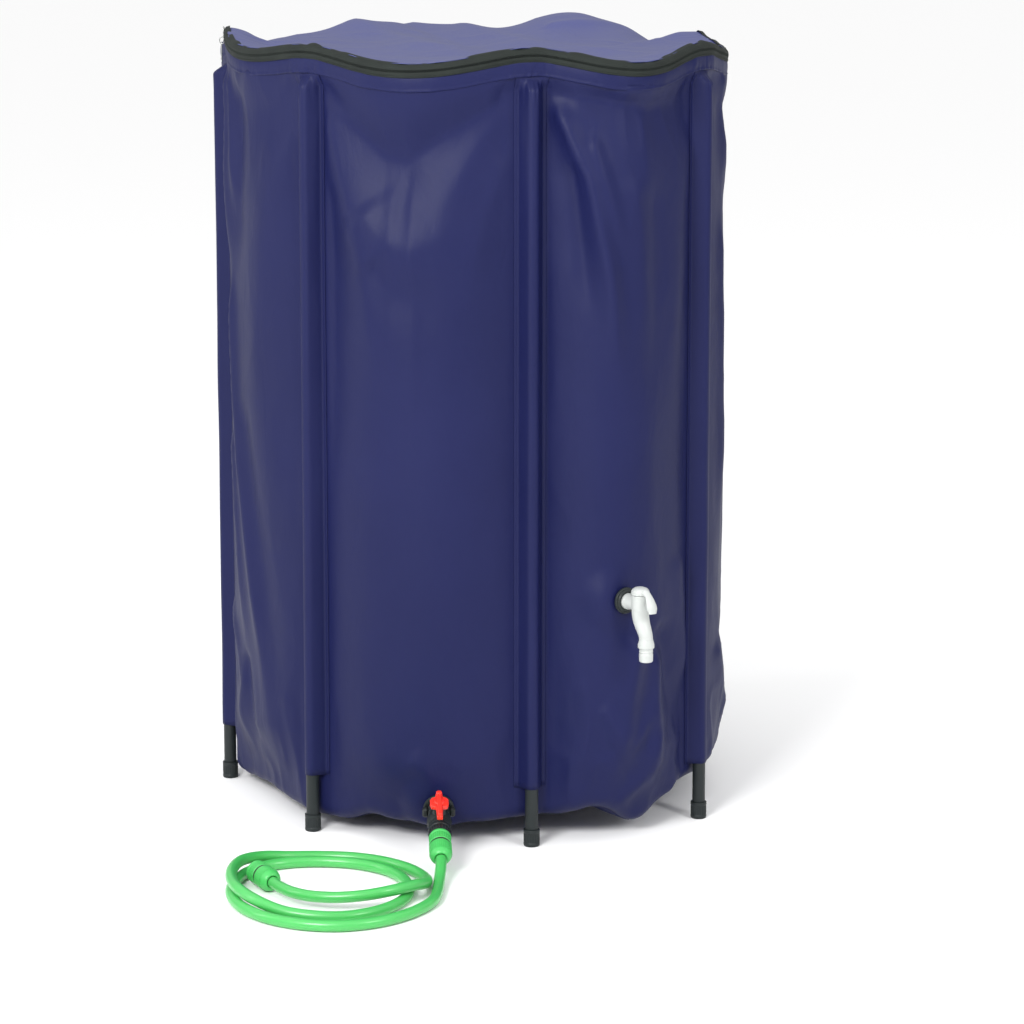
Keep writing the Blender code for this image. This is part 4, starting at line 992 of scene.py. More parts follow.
# %% Floor panel
RINGS = 26
rim_ring = np.vstack([BAG_HALVES["bag_front"][2][0][:-1], BAG_HALVES["bag_back"][2][0][:-1]])
PANEL_HEIGHT = 0.024
middle = np.array([*RING_CENTRE, PANEL_HEIGHT])
rings = []
for k in range(RINGS + 1):
    share = k / RINGS
    ring = middle + (rim_ring - middle) * share
    x, y = ring[:, 0], ring[:, 1]
    ripple = 0.006 * (creases(x * 9, y * 9, 71) - 0.55) * smooth_step((1 - share) / 0.2)
    ring[:, 2] += ripple * smooth_step(share / 0.1)
    rings.append(ring)
mesh = grid_mesh("floor_panel", np.array(rings), True)
face_outwards(mesh)
floor_panel = thicken(link("floor_panel", mesh, "blue_pvc", sharp=80), CLOTH)
mount(floor_panel, "tank", "tank_floor")
print("floor panel lowest", round(float(np.array(rings)[:, :, 2].min()), 4))

# %% [markdown]
# ## Sleeves
# Each pipe stands in a sleeve: a strip of cloth welded down both sides and tented over the pipe. It
# is closed over the pipe's top, where the cloth pinches in to meet the hem.

# %% Sleeve strips
PIPE_RADIUS = 0.010
SLEEVE_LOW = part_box("leg_sleeve_1")[0].z
SLEEVE_HIGH = PIPE_TOP + 0.026


def tent(x):
    """Height of the cloth over the seat at a place across it: flat, then up and over the pipe."""
    radius = PIPE_RADIUS + 0.0014
    top = np.sqrt(np.clip(radius ** 2 - x ** 2, 0, None)) + SEAT_INSET
    slope = np.interp(np.abs(x), (0.0, 0.0085, 0.0185, 0.025), (0.030, 0.0200, 0.0016, 0.0011))
    return np.where(np.abs(x) < 0.0085, top, np.minimum(slope, SEAT_INSET + radius))


def sleeve_strip(leg):
    """The strip of one leg, as a thin welded sheet."""
    across = np.linspace(-1, 1, 41)
    x = np.sign(across) * np.abs(across) ** 0.85 * SEAT_WIDTH / 2
    z = np.concatenate([np.linspace(SLEEVE_LOW, PIPE_TOP - 0.03, 90),
                        np.linspace(PIPE_TOP - 0.027, SLEEVE_HIGH, 22)])
    x, z = np.meshgrid(x, z)
    over = tent(x) - 0.0011
    crest, _, _ = on_crest(leg + x[0] / SEAT_WIDTH * SEAT_SHARE)
    crest_rise = (crest - SEATS[leg]) @ OUTWARD[leg] - 0.0008
    close = smooth_step((z - PIPE_TOP - 0.001) / (SLEEVE_HIGH - PIPE_TOP - 0.004))
    slack = 1 + 0.035 * lattice_noise(z * 9, x * 60 + leg * 3, 90 + leg)
    weld = -0.0003 * np.exp(-((np.abs(x) - 0.0205) / 0.0008) ** 2)
    pucker = 0.0010 * np.sin(x * 900 + leg) * smooth_step((z - PIPE_TOP + 0.03) / 0.05)
    rise = over * slack + weld + pucker * (np.abs(x) < 0.018) + 0.0011
    rise = rise * (1 - close) + crest_rise * close
    place = SEATS[leg] + ALONG[leg] * x[..., None] + OUTWARD[leg] * rise[..., None]
    points = np.dstack([place, z])
    name = f"sleeve_strip_{leg + 1}"
    piece = thicken(link(name, grid_mesh(name, points), "blue_pvc", sharp=80), CLOTH)
    return mount(piece, "tank", f"leg_sleeve_{leg + 1}")


SLEEVES = [sleeve_strip(leg) for leg in range(8)]
print("sleeves", len(SLEEVES), "from", round(SLEEVE_LOW, 3), "to", round(SLEEVE_HIGH, 4))

# %% [markdown]
# ## The hem
# The rim is a folded band 24 mm high, welded along its lower edge and puckered by the weld. It is
# made as a closed loop: the outer face, the fold at the top and the inner face. Over each pipe a
# doubled patch stands a little proud, with finer puckers.

# %% Hem
hem_columns = outline(0, 8, low=0.0, high=0.0, bow_steps=84, seat_steps=24)
# (outward, height under or over the rim)
HEM_PROFILE = ((0.0004, -0.0240), (0.0015, -0.0236), (0.0018, -0.0215), (0.0013, -0.0200),
               (0.0016, -0.0175), (0.0020, -0.0130), (0.0020, -0.0085), (0.0017, -0.0045),
               (0.0013, -0.0015), (0.0002, -0.0003), (-0.0012, -0.0006), (-0.0016, -0.0040),
               (-0.0016, -0.0130), (-0.0014, -0.0236), (-0.0008, -0.0242))


PATCH_RADIUS, PATCH_EDGE = 0.036, 0.006


def patch_share(columns):
    """1 over a pipe, falling to 0 outside its doubled patch."""
    nearest = np.min([np.linalg.norm(columns["place"] - seat, axis=1) for seat in SEATS], axis=0)
    return smooth_step((PATCH_RADIUS - nearest) / PATCH_EDGE)


patches = patch_share(hem_columns)
run = hem_columns["run"]
rows = []
for outward, height in HEM_PROFILE:
    outer = outward > 0.0003
    low = smooth_step((-height - 0.010) / 0.012)
    fine = lattice_noise(run * 210, np.full(len(run), height * 90 + 3), 12)
    soft = lattice_noise(run * 34, np.full(len(run), 1.5), 14)
    pucker = (0.00045 + 0.0009 * patches) * fine * (0.3 + low) + 0.0008 * soft
    offset = outward + pucker * outer + 0.0008 * patches * outer
    place = hem_columns["crest"] + hem_columns["crest_facing"] * offset[:, None]
    wave = 0.0006 * lattice_noise(run * 60, np.full(len(run), 0.5), 15) * low
    rows.append(np.column_stack([place, hem_columns["rim"] + height + wave]))
hem = link("rim_band", grid_mesh("rim_band", np.array(rows), True, True), "blue_pvc", sharp=70)
mount(hem, "tank", "rim_hem")
print("hem round the rim", round(run[-1], 3), "m")

# %% [markdown]
# ## The zip
# The zip runs along the front rim from the left corner to the right one. Each half is a woven tape
# with a row of teeth on its edge. The lower half stays with the tank, and the upper half belongs to
# the lid's front. The tapes are narrow closed bands, and Geometry Nodes set the teeth and the
# stitches along them.

# %% Zip tapes
zip_columns = outline(0, 4, low=0.75, high=0.30, bow_steps=84, seat_steps=16)


def cut(columns, low, high):
    """The columns from one way round the tank to another."""
    kept = (columns["way"] >= low) & (columns["way"] <= high)
    return {name: values[kept] for name, values in columns.items()}


# Near the lid's fold the upper tape stays with the tank, so that the open lid clears the rim.
CLEAR = SEAT_SHARE / 2 + 0.07
ways = zip_columns["way"]
lid_from, lid_to = ways[ways >= CLEAR][0], ways[ways <= 4 - CLEAR][-1]
lid_columns = cut(zip_columns, lid_from, lid_to)
end_columns = (cut(zip_columns, -1, lid_from), cut(zip_columns, lid_to, 9))
SEAM_Z = 0.0070               # where the teeth meet, over the rim
LOWER_TAPE = ((0.0021, -0.0030), (0.0029, -0.0022), (0.0030, 0.0020), (0.0034, 0.0042), (0.0030, 0.0052),
              (0.0012, 0.0052), (0.0008, 0.0010), (0.0004, -0.0028))
UPPER_TAPE = ((0.0014, 0.0088), (0.0032, 0.0088), (0.0035, 0.0098), (0.0030, 0.0122), (0.0018, 0.0146),
              (-0.0010, 0.0166), (-0.0070, 0.0180), (-0.0072, 0.0172), (-0.0012, 0.0154),
              (0.0010, 0.0138))


LEG_SPACING = 0.333           # metres round the rim from one leg to the next, nearly
FRAYED_FROM = 0.0160          # the tape's edge is uneven above this


def zip_band(name, profile, body, nodes, columns, seed):
    """One tape of the zip as a closed band that ripples a little."""
    zip_run = columns["way"] * LEG_SPACING
    rows = []
    for outward, height in profile:
        ripple = 0.0005 * lattice_noise(zip_run * 30, np.full(len(zip_run), height * 40), seed)
        if height > FRAYED_FROM:
            frayed = lattice_noise(zip_run * 46, np.full(len(zip_run), 3.5), 25)
            lumps = 0.0034 * np.clip(frayed + 0.1, 0, 1) ** 0.6
        else:
            lumps = 0.0
        place = columns["crest"] + columns["crest_facing"] * (outward + ripple)[:, None]
        rows.append(np.column_stack([place, columns["rim"] + height + ripple * 0.6 + lumps]))
    mesh = grid_mesh(name, np.array(rows), False, True)
    shape = bmesh.new()
    shape.from_mesh(mesh)
    bmesh.ops.holes_fill(shape, edges=[e for e in shape.edges if e.is_boundary])
    bmesh.ops.recalc_face_normals(shape, faces=shape.faces)
    shape.to_mesh(mesh)
    shape.free()
    return mount(link(name, mesh, "zip_fabric", sharp=60), body, *nodes)


zip_band("zip_tape_tank_side", LOWER_TAPE, "tank", ["zip_tape_lower"], zip_columns, 21)
zip_band("zip_tape_lid_side", UPPER_TAPE, "lid_front", ["zip_tape_upper"], lid_columns, 22)
for number, columns in enumerate(end_columns):
    zip_band(f"zip_tape_end_{number + 1}", UPPER_TAPE, "tank", [], columns, 22)


# %% Teeth and stitches
def rim_line(columns, outward, height):
    """A path along the zip at a place over the rim."""
    place = columns["crest"] + columns["crest_facing"] * outward
    return np.column_stack([place, columns["rim"] + height])


TOOTH_PITCH, STITCH_PITCH = 0.0021, 0.0034
SIDES = {"tank": zip_columns, "lid_front": lid_columns}
for name, body, node, height in (("zip_teeth_tank_side", "tank", "zip_teeth_lower", -0.0009),
                                 ("zip_teeth_lid_side", "lid_front", "zip_teeth_upper", 0.0009)):
    tooth = pebble((TOOTH_PITCH * 0.56, 0.0026, 0.0024), 0.35)
    line = path_curve(rim_line(SIDES[body], 0.0022, SEAM_Z + height))
    mesh = run_tree(name, ALONG_PATH, line, tooth, {"Spacing": TOOTH_PITCH}, "zip_fabric")
    mount(link(name, mesh, "zip_fabric"), body, node)
    print(name, len(mesh.polygons), "faces")
for name, body, outward, height in (("stitches_tank_side", "tank", 0.0031, -0.0004),
                                    ("stitches_lid_side", "lid_front", -0.0022, 0.0170)):
    stitch = pebble((0.0024, 0.0005, 0.0005), 0.3)
    line = path_curve(rim_line(SIDES[body], outward, height))
    mesh = run_tree(name, ALONG_PATH, line, stitch, {"Spacing": STITCH_PITCH}, "zip_fabric")
    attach(link(name, mesh, "zip_fabric"), body)
    print(name, len(mesh.polygons), "faces")

# %% [markdown]
# ## Slider, pull and end tape
# The slider is parked at the left corner. Its body is two plates joined by a wedge, with a loop in
# front that the pull swings on. The pull is a thin stamped tab with two windows, drawn as a bevelled
# outline. At the other end a grey tape covers the last teeth.

# %% Slider and pull
PIN = Vector(JOINTS["zip_pull_swing"]["pos_m"])
OUT_LEFT = Vector((*OUTWARD[0], 0))
SIDE_LEFT = Vector((*ALONG[0], 0))
UPWARD = Vector((0, 0, 1))
AT_PIN = placed(SIDE_LEFT, -OUT_LEFT, UPWARD, PIN)


def plate(outline_points, thickness, bevel, windows=()):
    """A bevelled plate from a closed outline of (x, z), centred on Y, with windows cut through."""
    shape = bpy.data.curves.new("plate", "CURVE")
    shape.dimensions = "2D"
    shape.fill_mode = "BOTH"
    shape.extrude = thickness / 2 - bevel
    shape.bevel_depth = bevel
    shape.bevel_resolution = 2
    for ring in (outline_points, *windows):
        add_line(shape, [(x, z, 0) for x, z in ring], True)
    holder = bpy.data.objects.new("plate", shape)
    bpy.context.scene.collection.objects.link(holder)
    shown = holder.evaluated_get(bpy.context.evaluated_depsgraph_get())
    mesh = bpy.data.meshes.new_from_object(shown)
    bpy.data.objects.remove(holder)
    mesh.materials.clear()
    mesh.transform(Matrix.Rotation(math.pi / 2, 4, "X"))
    face_outwards(mesh)
    return mesh


def oblong(low, high, half_width, corner, steps=5):
    """A rectangle with round corners, from one height to another."""
    centres = ((half_width - corner, high - corner), (corner - half_width, high - corner),
               (corner - half_width, low + corner), (half_width - corner, low + corner))
    points = []
    for quarter, (x, z) in enumerate(centres):
        for k in range(steps + 1):
            angle = math.pi / 2 * (quarter + k / steps)
            points.append((x + corner * math.cos(angle), z + corner * math.sin(angle)))
    return points


tab = plate(oblong(-0.0300, 0.0015, 0.0042, 0.0024), 0.0014, 0.0004,
            (oblong(-0.0095, -0.0004, 0.0024, 0.0020), oblong(-0.0265, -0.0135, 0.0022, 0.0018)))
tab.transform(AT_PIN)
mount(link("zip_pull_tab", tab, "zip_metal"), "zip_tab", "zip_pull")
front_plate = plate(oblong(0.0030, 0.0255, 0.0066, 0.0042), 0.0016, 0.0005)
front_plate.transform(Matrix.Translation((0, 0.0035, 0)))
back_plate = plate(oblong(0.0030, 0.0255, 0.0060, 0.0040), 0.0016, 0.0005)
back_plate.transform(Matrix.Translation((0, 0.0118, 0)))
wedge = pebble((0.0034, 0.0090, 0.0060), 0.25, (0, 0.0075, 0.0215))
slider = joined("zip_slider_body", [front_plate, back_plate, wedge], "zip_metal")
slider.data.transform(AT_PIN)
mount(slider, "tank", "zip_slider")
loop = turned_mesh("loop", soften([(0.0030, -0.0008), (0.0044, -0.0008), (0.0044, 0.0008),
                                   (0.0030, 0.0008), (0.0030, -0.0008)], 0.0004), Matrix(), 32)
loop.transform(Matrix.Scale(1.5, 4, (0, 1, 0)))
loop.transform(AT_PIN @ Matrix.Translation((0, 0.0004, 0.0040)) @ Matrix.Rotation(math.pi / 2, 4, "Y")
               @ Matrix.Rotation(math.pi / 2, 4, "Z"))
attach(link("zip_slider_loop", loop, "zip_metal"), "tank")

END_SPOT = SEATS[4] - ALONG[4] * 0.010 + OUTWARD[4] * 0.0042
END_AT = placed(Vector((*ALONG[4], 0)), Vector((*(-OUTWARD[4]), 0)), UPWARD, (*END_SPOT, HEM_TOP))
end_tape = plate(oblong(-0.0080, 0.0175, 0.0075, 0.0012), 0.0012, 0.0003)
end_tape.transform(END_AT)
mount(link("zip_end_tab", end_tape, "grey_tape"), "tank", "zip_end_tape")
print("slider pin at", [round(v, 4) for v in PIN])

# %% [markdown]
# ## The lid
# The lid is one sheet of cloth over the whole mouth. Its front edge is sewn to the upper zip tape and
# its back edge to the hem. It is slack, so it rises in a hump where the cloth is stiff and dips
# between. Its grid is rings that shrink from the rim to the middle. It stays one mesh that rides on
# no body; only the side of its fold that faces the front is worked out.

# %% Lid shape
LID_RINGS = 64
LID_BASE = 1.1975
# (x, y, radius x, radius y, height)
LID_HUMPS = ((-0.13, 0.32, 0.17, 0.13, 0.021), (0.17, 0.30, 0.10, 0.13, 0.034),
             (0.06, 0.33, 0.05, 0.12, -0.004), (0.33, 0.24, 0.035, 0.10, -0.010),
             (-0.33, 0.06, 0.03, 0.07, -0.006), (0.37, 0.13, 0.05, 0.06, 0.016),
             (-0.385, 0.03, 0.028, 0.03, 0.008), (0.00, -0.16, 0.20, 0.10, -0.008),
             (0.22, -0.12, 0.10, 0.08, -0.006))
# height, width, path of (x, y)
LID_FOLDS = ((0.0070, 0.028, ((-0.22, 0.38), (-0.10, 0.10), (0.04, -0.26))),
             (-0.0055, 0.026, ((-0.14, 0.40), (-0.02, 0.14), (0.10, -0.22))),
             (0.0050, 0.018, ((-0.02, 0.36), (0.08, 0.10), (0.16, -0.14))),
             (0.0060, 0.018, ((0.12, 0.20), (0.20, 0.22), (0.30, 0.26))),
             (0.0060, 0.014, ((0.36, 0.14), (0.28, 0.05), (0.18, -0.08))),
             (-0.0060, 0.016, ((0.30, 0.26), (0.26, 0.10), (0.20, -0.04))),
             (0.0055, 0.016, ((-0.37, 0.03), (-0.28, -0.02), (-0.18, -0.10))),
             (0.0050, 0.014, ((-0.34, 0.12), (-0.24, 0.06), (-0.12, 0.04))),
             (0.0040, 0.010, ((0.26, 0.33), (0.29, 0.26), (0.33, 0.22))),
             (0.0040, 0.010, ((0.22, 0.36), (0.25, 0.30), (0.28, 0.28))))
front = outline(0, 4, low=0.80, high=0.25, bow_steps=84, seat_steps=16)
back = outline(4, 8, low=0.30, high=0.75, bow_steps=60, seat_steps=16)
lid_edges = []
for columns, inward, height, raw in ((front, -0.0034, 0.0180, 0.0034), (back, -0.0006, 0.0010, 0.0)):
    ragged = raw * lattice_noise(columns["run"] * 48, np.full(len(columns["run"]), 0.5), 51)
    ragged += raw * 0.6 * lattice_noise(columns["run"] * 110, np.full(len(columns["run"]), 2.5), 52)
    place = columns["crest"] + columns["crest_facing"] * (inward + ragged)[:, None]
    lid_edges.append(np.column_stack([place, columns["rim"] + height + 0.3 * ragged]))
lid_edge = np.vstack(lid_edges)
lid_middle = np.array([0.0, 0.06, LID_BASE])
rings = []
for k in range(LID_RINGS + 1):
    share = (k / LID_RINGS) ** 0.85
    ring = lid_middle + (lid_edge - lid_middle) * share
    x, y = ring[:, 0], ring[:, 1]
    slack = np.full(len(x), LID_BASE)
    for hx, hy, rx, ry, height in LID_HUMPS:
        slack += height * np.exp(-((x - hx) / rx) ** 2 - ((y - hy) / ry) ** 2)
    for height, width, path in LID_FOLDS:
        slack += fold(x, y, path, height, width)
    slack += 0.0050 * (creases(x * 7 + 3, y * 6, 61, 0.9) - 0.6)
    slack += 0.0008 * lattice_noise(x * 32, y * 22, 63)
    free = smooth_step((1 - share) / 0.22)
    ring[:, 2] = lid_edge[:, 2] * (1 - free) + slack * free
    rings.append(ring)
points = np.array(rings)[::-1]
mesh = grid_mesh("lid_cloth", points, True)
spots = np.zeros(len(mesh.loops), np.int32)
mesh.loops.foreach_get("vertex_index", spots)
flat = points.reshape(-1, 3)[spots, :2].astype(np.float32)
mesh.uv_layers["cut"].data.foreach_set("uv", flat.ravel())
face_outwards(mesh)
# The lid's finish carries painted sheen: a lighter base colour in place of the sky's grazing reflection.
lid = link("lid_cloth", mesh, "blue_lid", sharp=80)
if mesh.polygons[0].normal.z < 0:
    mesh.flip_normals()
lid = thicken(lid, CLOTH)
FOLD_AXIS = Vector(JOINTS["lid_fold"]["axis"])
TO_FRONT = Vector((-FOLD_AXIS.y, FOLD_AXIS.x, 0)).normalized()
TO_FRONT *= -1 if TO_FRONT.y > 0 else 1
print("lid heights", round(float(points[:, :, 2].min()), 4), round(float(points[:, :, 2].max()), 4))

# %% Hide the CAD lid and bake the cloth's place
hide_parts("lid_back", "lid_flap")
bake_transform(lid)
print("front of the lid is towards", [round(v, 3) for v in TO_FRONT])

# %% [markdown]
# ## Pipes and foot caps
# The legs are plain dark plastic pipes that slide down out of their sleeves. Each stands in a moulded
# cap with a thick rim and small ribs for grip, set round it by the second Geometry Nodes tree.

# %% Pipes and caps
PIPE_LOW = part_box("leg_1")[0].z
CAP_RADIUS, CAP_HEIGHT, CAP_BASE = 0.0125, 0.026, 0.003
PIPE_BORE = 0.0082
PIPE_PROFILE = ((PIPE_BORE, PIPE_LOW), (PIPE_RADIUS, PIPE_LOW), (PIPE_RADIUS, PIPE_TOP),
                (PIPE_BORE, PIPE_TOP), (PIPE_BORE, PIPE_LOW + 0.0005))
CAP_PROFILE = ((0.0, 0.0), (CAP_RADIUS - 0.0008, 0.0), (CAP_RADIUS, 0.0016), (CAP_RADIUS, 0.0050),
               (CAP_RADIUS - 0.0007, 0.0062), (CAP_RADIUS - 0.0007, 0.0205), (CAP_RADIUS, 0.0215),
               (CAP_RADIUS, CAP_HEIGHT), (PIPE_RADIUS + 0.0003, CAP_HEIGHT),
               (PIPE_RADIUS + 0.0003, CAP_BASE), (0.0, CAP_BASE))
for leg in range(8):
    stand = Matrix.Translation((*LEGS[leg], 0))
    body = f"leg_{leg + 1}_pipe"
    turned(f"pipe_{leg + 1}", PIPE_PROFILE, "dark_pipe", body, (f"leg_{leg + 1}",), stand, 40, 0.0004)
    turned(f"foot_cap_{leg + 1}_shell", CAP_PROFILE, "dark_pipe", body, (f"foot_cap_{leg + 1}",),
           stand, 48, 0.0005)
    ribs(f"foot_cap_{leg + 1}_ribs", 20, (0.0010, 0.0010, 0.0135), (CAP_RADIUS - 0.0007, 0, 0.0134),
         "dark_pipe", body, stand)
print("pipes reach", round(PIPE_TOP, 3))

# %% [markdown]
# ## The drain
# A bulkhead flange is clamped through the cloth. The ball valve is threaded on it, with a swelling
# round the ball, a boss for the stem and a hexagon at its mouth. Its outlet carries the adaptor for
# the hose. All of it lies on one axis that slopes down a little, so every part is turned about it.


# %% Drain flange, body and outlet
def washer(name, bore, low_radius, high_radius, low, high, end, place, nodes=()):
    """A rubber ring on a fitting's axis. end is where its profile closes, just over its low face."""
    profile = ((bore, low), (low_radius, low), (high_radius, high), (bore, high), (bore, end))
    turned(name, profile, "seal_rubber", "tank", nodes, place)


washer("drain_seal", 0.0133, 0.0222, 0.0226, 0.0002, 0.0023, 0.0004, DRAIN, ("drain_gasket",))
turned("drain_bulkhead", ((0.0095, -0.0260), (0.0130, -0.0260), (0.0130, 0.0026), (0.0235, 0.0026),
                          (0.0235, 0.0056), (0.0218, 0.0070), (0.0185, 0.0074), (0.0128, 0.0074),
                          (0.0128, 0.0200), (0.0095, 0.0200), (0.0095, -0.0255)),
       "black_plastic", "tank", ("drain_flange",), DRAIN, 72, 0.0008)
washer("drain_inner_washer", 0.0133, 0.0225, 0.0225, -0.0037, -0.0016, -0.0034, DRAIN)
BODY_SHAPE = [(0.0131, 0.0076), (0.0166, 0.0076), (0.0172, 0.0090), (0.0172, 0.0118), (0.0164, 0.0132),
              (0.0164, 0.0205), (0.0152, 0.0232)]
for k in range(13):
    swell = math.sin(math.pi * k / 12)
    BODY_SHAPE.append((0.0160 + 0.0028 * swell, 0.0285 + 0.0270 * k / 12))
BODY_SHAPE += [(0.0166, 0.0570), (0.0174, 0.0585), (0.0174, 0.0620), (0.0136, 0.0620), (0.0136, 0.0285),
               (0.0095, 0.0270), (0.0095, 0.0215), (0.0131, 0.0205), (0.0131, 0.0080)]
shells = [turned_mesh("shell", soften(BODY_SHAPE, 0.0006), DRAIN, 72)]
boss = soften([(0.0, 0.0152), (0.0106, 0.0152), (0.0100, 0.0235), (0.0088, 0.0262), (0.0, 0.0262)],
              0.0008)
shells.append(turned_mesh("boss", boss, STEM, 48))
for side in (-1, 1):
    ear = pebble((0.0090, 0.0150, 0.0110), 0.3, (side * 0.0205, -0.0010, 0.0120))
    ear.transform(DRAIN)
    shells.append(ear)
valve_body = joined("valve_shell", shells, "black_plastic")
mount(valve_body, "tank", "valve_body")
turned("valve_outlet_fitting",
       ((0.0058, 0.0556), (0.0132, 0.0556), (0.0132, 0.0623), (0.0172, 0.0623), (0.0172, 0.0700),
        (0.0160, 0.0712), (0.0166, 0.0722), (0.0166, 0.0845), (0.0080, 0.0845), (0.0080, 0.0880),
        (0.0068, 0.0900), (0.0080, 0.0925), (0.0080, 0.1040), (0.0058, 0.1040), (0.0058, 0.0560)),
       "black_plastic", "tank", ("valve_outlet",), DRAIN, 64, 0.0006)
ribs("valve_outlet_ribs", 24, (0.0012, 0.0014, 0.0080), (0.0168, 0, 0.0780), "black_plastic", "tank",
     DRAIN)
print("drain axis points", [round(v, 3) for v in DRAIN.to_3x3().col[2]])

# %% [markdown]
# ### The red handle
# The handle is a moulded butterfly: a nub at the back, two square shoulders and a long finger that
# points along the flow when the valve is open. It is a bevelled plate with a raised spine on it.

# %% Handle and screw
HANDLE_LOW = 0.0276
finger = [(0.0030, -0.0400), (0.0034, -0.0360), (0.0040, -0.0130), (0.0110, -0.0105), (0.0128, -0.0060),
          (0.0128, 0.0060), (0.0105, 0.0105), (0.0046, 0.0140), (0.0042, 0.0225), (0.0026, 0.0250)]
shape = finger + [(-x, y) for x, y in reversed(finger)]
handle_plate = plate(shape, 0.0066, 0.0012)
spine_line = [(0.0022, -0.0392), (0.0024, 0.0150), (0.0022, 0.0235), (-0.0022, 0.0235), (-0.0024, 0.0150),
              (-0.0022, -0.0392)]
spine = plate(spine_line, 0.0075, 0.0010)
handle_plate.transform(Matrix.Translation((0, 0, HANDLE_LOW + 0.0048)) @ QUARTER_BACK)
spine.transform(Matrix.Translation((0, 0, HANDLE_LOW + 0.0085)) @ QUARTER_BACK)
hub = turned_mesh("hub", soften([(0.0, HANDLE_LOW + 0.0005), (0.0092, HANDLE_LOW + 0.0005),
                                 (0.0086, HANDLE_LOW + 0.0090), (0.0062, HANDLE_LOW + 0.0104),
                                 (0.0034, HANDLE_LOW + 0.0104), (0.0034, HANDLE_LOW + 0.0088),
                                 (0.0, HANDLE_LOW + 0.0088)], 0.0007), Matrix(), 40)
nub = turned_mesh("nub", soften([(0.0, HANDLE_LOW + 0.0020), (0.0050, HANDLE_LOW + 0.0020),
                                 (0.0044, HANDLE_LOW + 0.0140), (0.0, HANDLE_LOW + 0.0150)], 0.0012),
                  Matrix.Translation((0, 0.0185, 0)), 32)
handle = joined("drain_lever", [handle_plate, spine, hub, nub], "red_plastic")
handle.data.transform(STEM)
mount(handle, "drain_handle", "valve_handle")
turned("drain_lever_screw", ((0.0, 0.0345), (0.0030, 0.0345), (0.0030, 0.0372), (0.0022, 0.0384),
                             (0.0009, 0.0386), (0.0009, 0.0374), (0.0, 0.0374)),
       "screw_steel", "drain_handle", ("valve_handle_screw",), STEM, 32, 0.0003)
print("handle stands", HANDLE_LOW, "over the valve's axis")

# %% [markdown]
# ## Hose connectors
# Each connector is a release collar and a clamping nut with a dark ring between them. Both are
# turned shells with moulded grip ribs, and the hose goes into the nut's mouth.

# %% Connectors
CONNECTOR, RADIUS = 0.059, 0.0172
SPLIT = CONNECTOR * 0.47      # where the collar ends and the nut begins
OUTLET_FACE, GAP = 0.0845, 0.0003
TIP = Vector(route[-1])
LAST_WAY = (Vector(HOSE_ROUTE[-1]) - Vector(HOSE_ROUTE[-2])).normalized()
far_side = UPWARD.cross(-LAST_WAY).normalized()
FAR = placed(far_side, (-LAST_WAY).cross(far_side), -LAST_WAY, TIP + LAST_WAY * (CONNECTOR + GAP))
NEAR = DRAIN @ Matrix.Translation((0, 0, OUTLET_FACE + GAP))


def connector(number, place, depth):
    """One connector's collar, nut, ring and ribs."""
    r = RADIUS
    collar = ((0.0083, 0.0), (r - 0.0016, 0.0), (r - 0.0003, 0.0016), (r - 0.0003, 0.0050),
              (r - 0.0013, 0.0062), (r - 0.0013, SPLIT - 0.0090), (r - 0.0003, SPLIT - 0.0078),
              (r - 0.0003, SPLIT - 0.0050), (r - 0.0012, SPLIT - 0.0042), (0.0135, SPLIT - 0.0042),
              (0.0135, SPLIT + 0.0060), (0.0086, SPLIT + 0.0060), (0.0086, depth), (0.0083, depth),
              (0.0083, 0.0004))
    nut = ((0.0138, SPLIT + 0.0002), (r - 0.0010, SPLIT + 0.0002), (r, SPLIT + 0.0014),
           (r - 0.0002, SPLIT + 0.0100), (r - 0.0012, CONNECTOR - 0.0080),
           (r - 0.0036, CONNECTOR - 0.0030), (r - 0.0060, CONNECTOR - GAP),
           (0.0088, CONNECTOR - GAP), (0.0086, CONNECTOR - 0.0060), (0.0086, SPLIT + 0.0063),
           (0.0138, SPLIT + 0.0063), (0.0138, SPLIT + 0.0006))
    pieces = [turned(f"hose_collar_{number}", collar, "green_plastic", "tank",
                     (f"connector_{number}_collar",), place, 64, 0.0007),
              turned(f"hose_nut_{number}", nut, "green_plastic", "tank",
                     (f"connector_{number}_nut",), place, 64, 0.0008)]
    ring = ((0.0136, SPLIT - 0.0044), (r - 0.0013, SPLIT - 0.0044), (r - 0.0013, SPLIT + 0.0004),
            (0.0136, SPLIT + 0.0004), (0.0136, SPLIT - 0.0040))
    pieces.append(turned(f"hose_ring_{number}", ring, "seal_rubber", "tank", (), place, 64, 0.0002))
    for name, count, high, reach, size in (("collar", 30, SPLIT * 0.45, r - 0.0012, 0.0125),
                                           ("nut", 36, SPLIT + 0.0130, r - 0.0006, 0.0150)):
        pieces.append(ribs(f"hose_{name}_ribs_{number}", count, (0.0010, 0.0012, size),
                           (reach, 0, high), "green_plastic", "tank", place))
    return pieces


FITTINGS = connector(1, NEAR, 0.0215) + connector(2, FAR, 0.0220)
print("connectors", len(FITTINGS), "pieces")

# %% [markdown]
# ## The tap
# The tap is one white moulding clamped to the cloth by a black ring: an inlet with a round shoulder,
# an upright barrel, and a spout that sweeps down and forward to a barbed nozzle. The spout is a tube
# whose radius changes along its path. A domed cap with a drooping paddle turns on the barrel.


